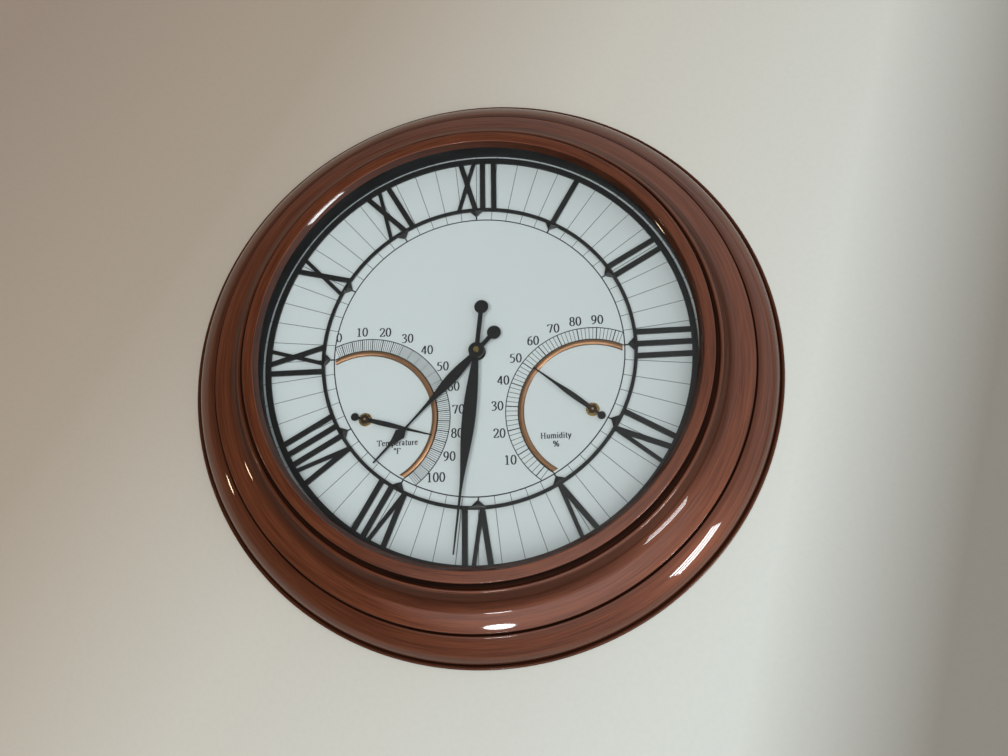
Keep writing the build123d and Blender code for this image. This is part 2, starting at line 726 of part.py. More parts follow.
# Thermometer and hygrometer, each a coiled strip that turns an arbor and a pointer
pointer_back = dial_front + POINTER_HEIGHT
pointer_front = pointer_back + POINTER_HUB_HEIGHT
bush_front = dial_front + BUSH_FLANGE_HEIGHT
housing_back = dial_back - HOUSING_DEPTH
housing_front_inside = dial_back - HOUSING_WALL
bridge_front = housing_back + BRIDGE_THICKNESS
coil_middle = (bridge_front + housing_front_inside) / 2
coil_back = coil_middle - COIL_HEIGHT / 2
coil_front = coil_middle + COIL_HEIGHT / 2
coil_start = COIL_HUB_RADIUS + RUN_CLEARANCE
coil_end_radius = coil_start + (COIL_HALF_TURNS - 1) * COIL_PITCH / 2
coil_end_offset = COIL_PITCH / 2 * ((COIL_HALF_TURNS - 1) % 2)
coil_end_side = 1 if COIL_HALF_TURNS % 2 == 0 else -1
coil_end_at = coil_end_offset + coil_end_side * (coil_end_radius + COIL_STRIP / 2)
coil_post_at = (coil_end_at, coil_end_side * (COIL_POST_RADIUS + SEAT_CLEARANCE))


def spiral(grow):
    """Half circles of growing radius about two centres in turn."""
    arcs = []
    for index in range(COIL_HALF_TURNS):
        radius = coil_start + grow + index * COIL_PITCH / 2
        centre = COIL_PITCH / 2 * (index % 2)
        side = 1 if index % 2 == 0 else -1
        ends = ((centre + side * radius, 0), (centre, side * radius), (centre - side * radius, 0))
        arcs.append(ThreePointArc(*ends))
    return arcs


def instrument_coil(at):
    inner = spiral(0)
    outer = spiral(COIL_STRIP)
    caps = [Line(inner[0] @ 0, outer[0] @ 0), Line(inner[-1] @ 1, outer[-1] @ 1)]
    return plate(Pos(*at) * make_face(inner + outer + caps), coil_back, coil_front)


def instrument_housing(at):
    body = rod(HOUSING_RADIUS, housing_back, dial_back, at)
    hollow = rod(HOUSING_RADIUS - HOUSING_WALL, housing_back - OVERRUN, housing_front_inside, at)
    bridge = Pos(*at) * Rectangle((HOUSING_RADIUS - HOUSING_WALL / 2) * 2, BRIDGE_WIDTH)
    post_at = (at[0] + coil_post_at[0], at[1] + coil_post_at[1])
    body = body - hollow + plate(bridge, housing_back, bridge_front)
    body += rod(COIL_POST_RADIUS, coil_back, dial_back, post_at)
    body -= rod(BUSH_RADIUS + SEAT_CLEARANCE, housing_front_inside - OVERRUN, dial_back + OVERRUN, at)
    return body - rod(ARBOR_RADIUS + RUN_CLEARANCE, bridge_front - PIVOT_DEPTH, bridge_front + OVERRUN, at)


def instrument_bush(at):
    body = rod(BUSH_FLANGE_RADIUS, dial_front, bush_front, at)
    body += rod(BUSH_RADIUS, housing_front_inside, dial_front, at)
    return body - rod(ARBOR_RADIUS + RUN_CLEARANCE, housing_front_inside - OVERRUN, bush_front + OVERRUN, at)


def instrument_arbor(at):
    foot = bridge_front - PIVOT_DEPTH + RUN_CLEARANCE
    return rod(ARBOR_RADIUS, foot, pointer_front, at) + rod(COIL_HUB_RADIUS, coil_back, coil_front, at)


def instrument_pointer(at, reading, length):
    outline = blade(POINTER_SHARES, length, POINTER_WIDTH)
    outline = tailed(outline, POINTER_TAIL, POINTER_TAIL_RADIUS, POINTER_TAIL_WIDTH, POINTER_HUB_RADIUS)
    turned = Pos(*at) * Rot(0, 0, -reading) * outline
    body = plate(turned, pointer_back, pointer_back + POINTER_THICKNESS)
    body += rod(POINTER_HUB_RADIUS, pointer_back, pointer_front, at)
    return body - rod(ARBOR_RADIUS + SEAT_CLEARANCE, pointer_back - OVERRUN, pointer_front + OVERRUN, at)


def scale_band(at):
    """Half-round band about an instrument's centre, cut short inside the numeral ring."""
    half = BAND_WIDTH / 2
    start = (BAND_RADIUS - half, dial_front)
    end = (BAND_RADIUS + half, dial_front)
    top = (BAND_RADIUS, dial_front + BAND_HEIGHT)
    crown = ThreePointArc(*[(radius, -front) for radius, front in (start, top, end)])
    ring = Pos(at[0], 0, at[1]) * spin(crown, run(end, start))
    return ring & rod(pip_tip - BAND_END_GAP, dial_front, ring_front + OVERRUN)


INSTRUMENTS = (
    ("thermometer", thermometer_at, THERMOMETER_READING, BAND_RADIUS + THERMOMETER_REACH),
    ("hygrometer", hygrometer_at, HYGROMETER_READING, BAND_RADIUS + HYGROMETER_REACH),
)
for name, at, reading, length in INSTRUMENTS:
    export_step(instrument_housing(at), f"parts/{name}_housing.step")
    export_step(instrument_bush(at), f"parts/{name}_bush.step")
    export_step(instrument_arbor(at), f"parts/{name}_arbor.step")
    export_step(instrument_coil(at), f"parts/{name}_coil.step")
    export_step(instrument_pointer(at, reading, length), f"parts/{name}_pointer.step")
    export_step(scale_band(at), f"parts/{name}_band.step")


# Gears: outlines with straight-sided teeth, and the phases that put them in mesh
def gear(teeth, module, phase):
    """Gear outline with one tooth centred at the phase, counted from x to z."""
    pitch_radius = module * teeth / 2
    root = pitch_radius - DEDENDUM_SHARE * module
    tip = pitch_radius + ADDENDUM_SHARE * module
    flanks = (
        (root, -TOOTH_ROOT_SHARE),
        (tip, -TOOTH_TIP_SHARE),
        (tip, TOOTH_TIP_SHARE),
        (root, TOOTH_ROOT_SHARE),
    )
    corners = []
    for tooth in range(teeth):
        for radius, share in flanks:
            corners.append(step((0, 0), phase + 360.0 * (tooth + share) / teeth, radius))
    return Polygon(*corners, align=None)


def meshed(phase, teeth, direction, other_teeth):
    """Phase of a gear that lies in a direction from another and is in mesh with it."""
    return direction + 180.0 - (180.0 - (direction - phase) * teeth) / other_teeth


def apart(module, teeth, other_teeth):
    """Distance between the axes of two gears in mesh."""
    return module * (teeth + other_teeth) / 2


cannon_module = MOTION_DISTANCE * 2 / (CANNON_TEETH + MINUTE_WHEEL_TEETH)
hour_module = MOTION_DISTANCE * 2 / (MINUTE_PINION_TEETH + HOUR_WHEEL_TEETH)
centre_at = (0, 0)
setting_at = step(centre_at, MOTION_DIRECTION, MOTION_DISTANCE)
third_at = step(centre_at, THIRD_DIRECTION, apart(CENTRE_MODULE, CENTRE_TEETH, THIRD_PINION_TEETH))
second_at = step(third_at, SECOND_DIRECTION, apart(TRAIN_MODULE, THIRD_TEETH, SECOND_PINION_TEETH))
intermediate_at = step(
    second_at, INTERMEDIATE_DIRECTION, apart(TRAIN_MODULE, SECOND_TEETH, INTERMEDIATE_PINION_TEETH)
)
rotor_at = step(intermediate_at, ROTOR_DIRECTION, apart(TRAIN_MODULE, INTERMEDIATE_TEETH, ROTOR_PINION_TEETH))
minute_wheel_phase = meshed(0.0, CANNON_TEETH, MOTION_DIRECTION, MINUTE_WHEEL_TEETH)
hour_wheel_phase = meshed(0.0, MINUTE_PINION_TEETH, MOTION_DIRECTION + 180.0, HOUR_WHEEL_TEETH)
third_phase = meshed(0.0, CENTRE_TEETH, THIRD_DIRECTION, THIRD_PINION_TEETH)
second_phase = meshed(0.0, THIRD_TEETH, SECOND_DIRECTION, SECOND_PINION_TEETH)
intermediate_phase = meshed(0.0, SECOND_TEETH, INTERMEDIATE_DIRECTION, INTERMEDIATE_PINION_TEETH)
rotor_phase = meshed(0.0, INTERMEDIATE_TEETH, ROTOR_DIRECTION, ROTOR_PINION_TEETH)
pivot_front = gear_front + PIVOT_DEPTH
pivot_back = gear_back - PIVOT_DEPTH
spare = (PINION_THICKNESS - WHEEL_THICKNESS) / 2


def wheel(teeth, module, phase, back, at):
    return plate(Pos(*at) * gear(teeth, module, phase), back, back + WHEEL_THICKNESS)


def pinion(teeth, module, phase, wheel_back, at):
    """Pinion a little thicker than the wheel that it meets."""
    outline = Pos(*at) * gear(teeth, module, phase)
    return plate(outline, wheel_back - spare, wheel_back + WHEEL_THICKNESS + spare)


def train_wheel(at, pinion_teeth, pinion_module, phase, pinion_level, teeth, level):
    """Arbor with a pinion in front and a wheel behind it, turning in the case and its back cover."""
    body = rod(TRAIN_ARBOR_RADIUS, pivot_back + RUN_CLEARANCE, pivot_front - RUN_CLEARANCE, at)
    body += pinion(pinion_teeth, pinion_module, phase, pinion_level, at)
    return body + wheel(teeth, TRAIN_MODULE, 0.0, level, at)


def minute_arbor():
    tip_start = minute_hand_back
    tip_end = hands_front + HAND_NUT_HEIGHT
    body = rod(MINUTE_TIP_RADIUS, pivot_back + RUN_CLEARANCE, tip_end)
    body += rod(MINUTE_ARBOR_RADIUS, minute_wheel_back - spare, tip_start)
    return body + pinion(CANNON_TEETH, cannon_module, 0.0, minute_wheel_back, centre_at)


def centre_wheel():
    hub_front = minute_wheel_back - spare - RUN_CLEARANCE
    body = wheel(CENTRE_TEETH, CENTRE_MODULE, 0.0, centre_back, centre_at)
    body += rod(MINUTE_TIP_RADIUS + HUB_WALL, centre_back, hub_front)
    return body - rod(MINUTE_TIP_RADIUS + RUN_CLEARANCE, centre_back - OVERRUN, hub_front + OVERRUN)


def hour_wheel():
    pipe_front = hour_hand_back + HAND_BOSS_HEIGHT
    body = wheel(HOUR_WHEEL_TEETH, hour_module, hour_wheel_phase, hour_wheel_back, centre_at)
    body += rod(HOUR_PIPE_RADIUS, hour_wheel_back, pipe_front)
    return body - rod(MINUTE_ARBOR_RADIUS + RUN_CLEARANCE, hour_wheel_back - OVERRUN, pipe_front + OVERRUN)


knob_front = movement_back - KNOB_GAP
knob_back = knob_front - KNOB_HEIGHT


def minute_wheel():
    body = wheel(MINUTE_WHEEL_TEETH, cannon_module, minute_wheel_phase, minute_wheel_back, setting_at)
    body += pinion(MINUTE_PINION_TEETH, hour_module, 0.0, hour_wheel_back, setting_at)
    body += rod(KNOB_ARBOR_RADIUS, minute_wheel_back, hour_wheel_back, setting_at)
    return body + rod(KNOB_ARBOR_RADIUS, knob_back + KNOB_HEIGHT / 2, pivot_front - RUN_CLEARANCE, setting_at)


def setting_knob():
    body = rod(KNOB_RADIUS, knob_back, knob_front, setting_at)
    ribs = [
        rod(KNOB_RIB_RADIUS, knob_back - OVERRUN, knob_front + OVERRUN,
            (setting_at[0] + x, setting_at[1] + z))
        for x, z in around(KNOB_RIBS, KNOB_RADIUS)
    ]
    bore = rod(KNOB_ARBOR_RADIUS + SEAT_CLEARANCE, knob_back + KNOB_HEIGHT / 2 - SEAT_CLEARANCE,
               knob_front + OVERRUN, setting_at)
    return body - ribs - bore


# Stepper motor: rotor, stator plate and coil
stator_back = (second_back + third_back) / 2 - STATOR_THICKNESS / 2
stator_front = stator_back + STATOR_THICKNESS
stator_middle = (stator_back + stator_front) / 2
stator_right = rotor_at[0] + STATOR_HEAD / 2
stator_left = stator_right - STATOR_WIDTH
stator_low = gear_floor + MOTOR_GAP + WINDING_THICKNESS + SEAT_CLEARANCE
stator_high = rotor_at[1] + (STATOR_HEIGHT - STATOR_YOKE) / 2
bar_high = stator_low + STATOR_BAR
window_right = stator_right - STATOR_HEAD
window_left = stator_left + STATOR_END
stator_posts = [
    (stator_left + STATOR_END / 2, stator_low + STATOR_BAR / 2),
    (stator_right - STATOR_END / 2, stator_low + STATOR_BAR / 2),
]


def rotor():
    body = rod(TRAIN_ARBOR_RADIUS, pivot_back + RUN_CLEARANCE, pivot_front - RUN_CLEARANCE, rotor_at)
    body += pinion(ROTOR_PINION_TEETH, TRAIN_MODULE, rotor_phase, intermediate_back, rotor_at)
    half = ROTOR_HEIGHT / 2
    return body + rod(ROTOR_RADIUS, stator_middle - half, stator_middle + half, rotor_at)


def motor_stator():
    body = block(stator_left, stator_right, stator_low, stator_high, stator_back, stator_front)
    body -= block(window_left, window_right, bar_high, stator_high - STATOR_YOKE,
                  stator_back - OVERRUN, stator_front + OVERRUN)
    hole = ROTOR_RADIUS + STATOR_ROTOR_GAP
    return body - rod(hole, stator_back - OVERRUN, stator_front + OVERRUN, rotor_at)


def stepper_coil():
    middle = (window_left + window_right) / 2
    left = middle - COIL_LENGTH / 2
    right = middle + COIL_LENGTH / 2
    core = (stator_low - SEAT_CLEARANCE, bar_high + SEAT_CLEARANCE)
    depth = (stator_back - SEAT_CLEARANCE, stator_front + SEAT_CLEARANCE)
    body = block(left, right, core[0] - WINDING_THICKNESS, core[1] + WINDING_THICKNESS,
                 depth[0] - WINDING_THICKNESS, depth[1] + WINDING_THICKNESS)
    body = fillet(body.edges().filter_by(Axis.X), WINDING_THICKNESS / 2)
    return body - block(left - OVERRUN, right + OVERRUN, core[0], core[1], depth[0], depth[1])


# Movement case, its back cover, and what holds it to the dial
post_side = gear_side - POST_RADIUS
case_posts = [
    (side * post_side, level)
    for side in (-1, 1)
    for level in (gear_floor + POST_RADIUS, gear_roof - POST_RADIUS)
]
train_places = (third_at, second_at, intermediate_at, rotor_at)
battery_at = (bay_bottom + bay_top) / 2
bay_front = movement_front - BATTERY_FRONT_WALL
battery_middle = bay_front - RUN_CLEARANCE - BATTERY_RADIUS


def movement_case():
    middle = (case_top + case_bottom) / 2
    shell = RectangleRounded(MOVEMENT_WIDTH, MOVEMENT_HEIGHT, CASE_ROUND)
    body = plate(Pos(0, middle) * shell, movement_back, movement_front)
    body -= block(-gear_side, gear_side, gear_floor, gear_roof, movement_back - OVERRUN, gear_front)
    body -= block(-gear_side, gear_side, bay_bottom, bay_top, movement_back - OVERRUN, bay_front)
    body += [rod(POST_RADIUS, gear_back, gear_front, at) for at in case_posts]
    body += [rod(STATOR_POST_RADIUS, stator_front, gear_front, at) for at in stator_posts]
    body -= [rod(TRAIN_ARBOR_RADIUS + RUN_CLEARANCE, gear_front - OVERRUN / 4, pivot_front, at)
             for at in train_places]
    body -= rod(KNOB_ARBOR_RADIUS + RUN_CLEARANCE, gear_front - OVERRUN / 4, pivot_front, setting_at)
    return body - rod(BUSHING_RADIUS + SEAT_CLEARANCE, gear_front - OVERRUN, movement_front + OVERRUN)


def movement_back_cover():
    gap = SEAT_CLEARANCE
    side = gear_side - gap
    body = block(-side, side, gear_floor + gap, gear_roof - gap, movement_back, gear_back)
    body -= [rod(TRAIN_ARBOR_RADIUS + RUN_CLEARANCE, pivot_back, gear_back + OVERRUN, at)
             for at in train_places]
    body -= rod(MINUTE_TIP_RADIUS + RUN_CLEARANCE, pivot_back, gear_back + OVERRUN)
    knob_hole = KNOB_ARBOR_RADIUS + RUN_CLEARANCE
    return body - rod(knob_hole, movement_back - OVERRUN, gear_back + OVERRUN, setting_at)


bushing_hole = HOUR_PIPE_RADIUS + RUN_CLEARANCE
export_step(movement_case(), "parts/movement_case.step")
export_step(movement_back_cover(), "parts/movement_back_cover.step")
export_step(tube(BUSHING_RADIUS, bushing_hole, gear_front, bushing_front), "parts/centre_bushing.step")
export_step(
    tube(WASHER_RADIUS, BUSHING_RADIUS + SEAT_CLEARANCE, movement_front, dial_back),
    "parts/rubber_washer.step",
)
export_step(
    tube(PLATE_WASHER_RADIUS, BUSHING_RADIUS + SEAT_CLEARANCE, dial_front, nut_back),
    "parts/plate_washer.step",
)
nut_outline = RegularPolygon(NUT_RADIUS, 6) - Circle(BUSHING_RADIUS + SEAT_CLEARANCE)
export_step(plate(nut_outline, nut_back, nut_front), "parts/bushing_nut.step")

# Moving pieces of the movement
export_step(minute_arbor(), "parts/minute_arbor.step")
export_step(minute_wheel(), "parts/minute_wheel.step")
export_step(setting_knob(), "parts/setting_knob.step")
export_step(hour_wheel(), "parts/hour_wheel.step")
export_step(centre_wheel(), "parts/centre_wheel.step")
export_step(
    train_wheel(third_at, THIRD_PINION_TEETH, CENTRE_MODULE, third_phase, centre_back,
                THIRD_TEETH, third_back),
    "parts/third_wheel.step",
)
export_step(
    train_wheel(second_at, SECOND_PINION_TEETH, TRAIN_MODULE, second_phase, third_back,
                SECOND_TEETH, second_back),
    "parts/second_wheel.step",
)
export_step(
    train_wheel(intermediate_at, INTERMEDIATE_PINION_TEETH, TRAIN_MODULE, intermediate_phase, second_back,
                INTERMEDIATE_TEETH, intermediate_back),
    "parts/intermediate_wheel.step",
)
export_step(rotor(), "parts/rotor.step")
export_step(motor_stator(), "parts/motor_stator.step")
export_step(stepper_coil(), "parts/stepper_coil.step")

# Circuit board on the back cover, with its chip and crystal
board_left = -gear_side + POST_RADIUS / 2
board_high = gear_roof - POST_RADIUS * 2 - SEAT_CLEARANCE
board_low = board_high - BOARD_HEIGHT
board_front = gear_back + BOARD_THICKNESS
chip_at = (board_left + BOARD_WIDTH * 2 / 3, (board_low + board_high) / 2)
crystal_at = board_left + BOARD_WIDTH / 4
crystal_front = board_front + CRYSTAL_RADIUS + SEAT_CLEARANCE


def circuit_board():
    return block(board_left, board_left + BOARD_WIDTH, board_low, board_high, gear_back, board_front)


def driver_chip():
    outline = Pos(*chip_at) * RectangleRounded(CHIP_SIZE, CHIP_SIZE, CHIP_SIZE / 8)
    return plate(outline, board_front, board_front + CHIP_HEIGHT)


def quartz_crystal():
    low = (board_low + board_high - CRYSTAL_LENGTH) / 2
    return extrude(Pos(crystal_at, -crystal_front, low) * Circle(CRYSTAL_RADIUS), amount=CRYSTAL_LENGTH)


export_step(circuit_board(), "parts/circuit_board.step")
export_step(driver_chip(), "parts/driver_chip.step")
export_step(quartz_crystal(), "parts/quartz_crystal.step")

# Battery lying in its bay, between a plain contact and a sprung one
plus_wall = gear_side
battery_right = plus_wall - CONTACT_THICKNESS - BATTERY_NUB_LENGTH
battery_left = battery_right - BATTERY_LENGTH
minus_wall = -gear_side


def lying(radius, left, right):
    """Round bar along the battery's axis."""
    end = Plane(origin=(left, -battery_middle, battery_at), z_dir=(1, 0, 0))
    return extrude(end * Circle(radius), amount=right - left)


def plus_contact():
    half = CONTACT_WIDTH / 2
    return block(plus_wall - CONTACT_THICKNESS, plus_wall, battery_at - half, battery_at + half,
                 battery_middle - half, battery_middle + half)


def minus_contact():
    """Bent leaf: a flat back against the wall and a finger that bows out to the battery."""
    half = CONTACT_WIDTH / 2
    outline = make_face(Polyline(
        (minus_wall, battery_at + half),
        (minus_wall, battery_at - half),
        (minus_wall + CONTACT_THICKNESS, battery_at - half),
        (battery_left, battery_at - CONTACT_THICKNESS),
        (battery_left, battery_at + CONTACT_THICKNESS),
        (minus_wall + CONTACT_THICKNESS * 2, battery_at - half + CONTACT_THICKNESS * 3),
        (minus_wall + CONTACT_THICKNESS, battery_at - half + CONTACT_THICKNESS * 3),
        (minus_wall + CONTACT_THICKNESS, battery_at + half),
        close=True,
    ))
    return plate(outline, battery_middle - half, battery_middle + half)


battery = lying(BATTERY_RADIUS, battery_left, battery_right)
battery += lying(BATTERY_NUB_RADIUS, battery_right, battery_right + BATTERY_NUB_LENGTH)
export_step(battery, "parts/battery_cell.step")
export_step(plus_contact(), "parts/plus_contact.step")
export_step(minus_contact(), "parts/minus_contact.step")
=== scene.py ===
import math

import bpy
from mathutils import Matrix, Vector


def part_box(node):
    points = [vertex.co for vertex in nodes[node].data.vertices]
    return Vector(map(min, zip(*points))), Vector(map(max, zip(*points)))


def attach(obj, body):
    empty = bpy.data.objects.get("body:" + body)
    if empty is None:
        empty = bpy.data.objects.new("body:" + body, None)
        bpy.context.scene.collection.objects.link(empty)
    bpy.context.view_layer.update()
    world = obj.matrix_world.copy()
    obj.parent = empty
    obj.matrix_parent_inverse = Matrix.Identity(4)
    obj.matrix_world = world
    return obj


# The looks of a round wall clock with a thermometer and a hygrometer on its dial, in metres.
# The wall is the plane y = 0 and the dial faces -Y. Clock angles run clockwise from twelve.

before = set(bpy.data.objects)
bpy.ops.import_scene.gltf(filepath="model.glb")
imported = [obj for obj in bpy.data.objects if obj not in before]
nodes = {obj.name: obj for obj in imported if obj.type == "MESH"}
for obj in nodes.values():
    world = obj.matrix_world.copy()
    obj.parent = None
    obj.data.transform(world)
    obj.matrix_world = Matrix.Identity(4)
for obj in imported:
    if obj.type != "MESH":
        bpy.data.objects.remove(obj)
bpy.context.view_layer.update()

# Camera: place, turn in degrees, lens and sensor in millimetres
CAMERA_PLACE = (0.0994, -0.7451, -0.2577)
CAMERA_TURN = (108.155, 0.805, 6.60)
CAMERA_LENS = 36.51
CAMERA_SENSOR = 36.0

# Wall and lamps: directions from the clock, distances, sizes, radiances, colours and what each lamp reaches
WALL_RADIUS = 4.2
WALL_OPENING = 0.2220
WALL_TURNS = 96
WALL_GAP = 0.0005
LAMPS = (
    ("fill", "RECTANGLE", (-0.25, -0.95, -0.15), 2.2, (0.35, 0.35), 26.0, (0.98, 0.99, 1.0), "matt"),
    ("glint", "ELLIPSE", (-0.048, -0.654, -0.755), 1.6, (0.19, 0.12), 42.0, (0.96, 0.98, 1.0), "gloss"),
    ("lamp", "ELLIPSE", (-0.960, -0.240, -0.130), 1.6, (0.06, 0.12), 36.0, (1.0, 0.82, 0.52), "gloss"),
)
WINDOW = (
    "window", "RECTANGLE", (0.768, -0.285, -0.575), 1.7, (0.060, 0.48), 48.0, (0.95, 0.98, 1.0), "gloss",
)
WINDOW_PANES = (-0.105, 0.0, 0.105)

# Light from all round: dim to the left, bright to the right, a bright spot low in front and a dark one above
WORLD_DIM = (0.130, 0.106, 0.084)
WORLD_BRIGHT = (0.740, 0.785, 0.805)
WORLD_AXIS = (0.89, 0.0, 0.08)
WORLD_SPAN = (-0.75, 0.75)
SPOT = (2.00, 2.06, 2.08)
SPOT_AXIS = (0.10, -0.90, -0.38)
SPOT_SPAN = (0.76, 0.985)
DARK_AXIS = (-0.30, -0.85, 0.43)
DARK_SPAN = (0.77, 0.985)
DARK_LEVEL = 0.30

# Places read from the frame
dial_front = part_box("dial_plate")[0].y


def middle(name):
    """Centre of a CAD node's box, as x and z."""
    low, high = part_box(name)
    return ((low.x + high.x) / 2, (low.z + high.z) / 2)


thermometer_at = middle("thermometer_bush")
hygrometer_at = middle("hygrometer_bush")

# Printing on the dial
INK_HEIGHT = 0.00006
CIRCLE_RADIUS = 0.1100
CIRCLE_WIDTH = 0.0009
MINUTE_COUNT = 60
MINUTE_WIDTH = 0.00046
MINUTE_END = 0.1664
HOUR_COUNT = 12
HOUR_WIDTH = 0.0011
HOUR_END = 0.1128
SCALE_OUTER = 0.0638
SCALE_INNER = 0.0546
SCALE_LINE = 0.0007
FINE_TICK = 0.00040
BOLD_TICK = 0.00075
DIGIT_RADIUS = 0.0702
DIGIT_HEIGHT = 0.0070
DIGIT_STRETCH = 1.12
WORD_HEIGHT = 0.0044
WORD_STRETCH = 1.15
WORD_DROP = 0.0063
THERMOMETER_WORD_AT = (-0.0600, -0.0694)
HYGROMETER_WORD_AT = (0.0570, -0.0689)
ARC_STEP = math.radians(1.5)

# Painted shade on the edges of the scale bands, and the caps of the pointers' hubs
BAND_MIDDLE = 0.0523
BAND_SHADE_START = 0.0015
BAND_SHADE_END = 0.0021
HUB_CAP = 0.0024
HUB_CAP_EDGE = 0.0003

# Clock angle of a reading: its value at zero, its slope and its bend
THERMOMETER_DEGREES = (-18.7, 1.492, 0.0)
HYGROMETER_DEGREES = (-138.2, 1.87, -0.0031)

# Pen widths in shares of a letter's height, for upright and for level strokes
DIGIT_PEN_SHARES = (0.165, 0.070)
WORD_PEN_SHARES = (0.190, 0.075)
CURVE_STEPS = 6
RING_STEPS = 28

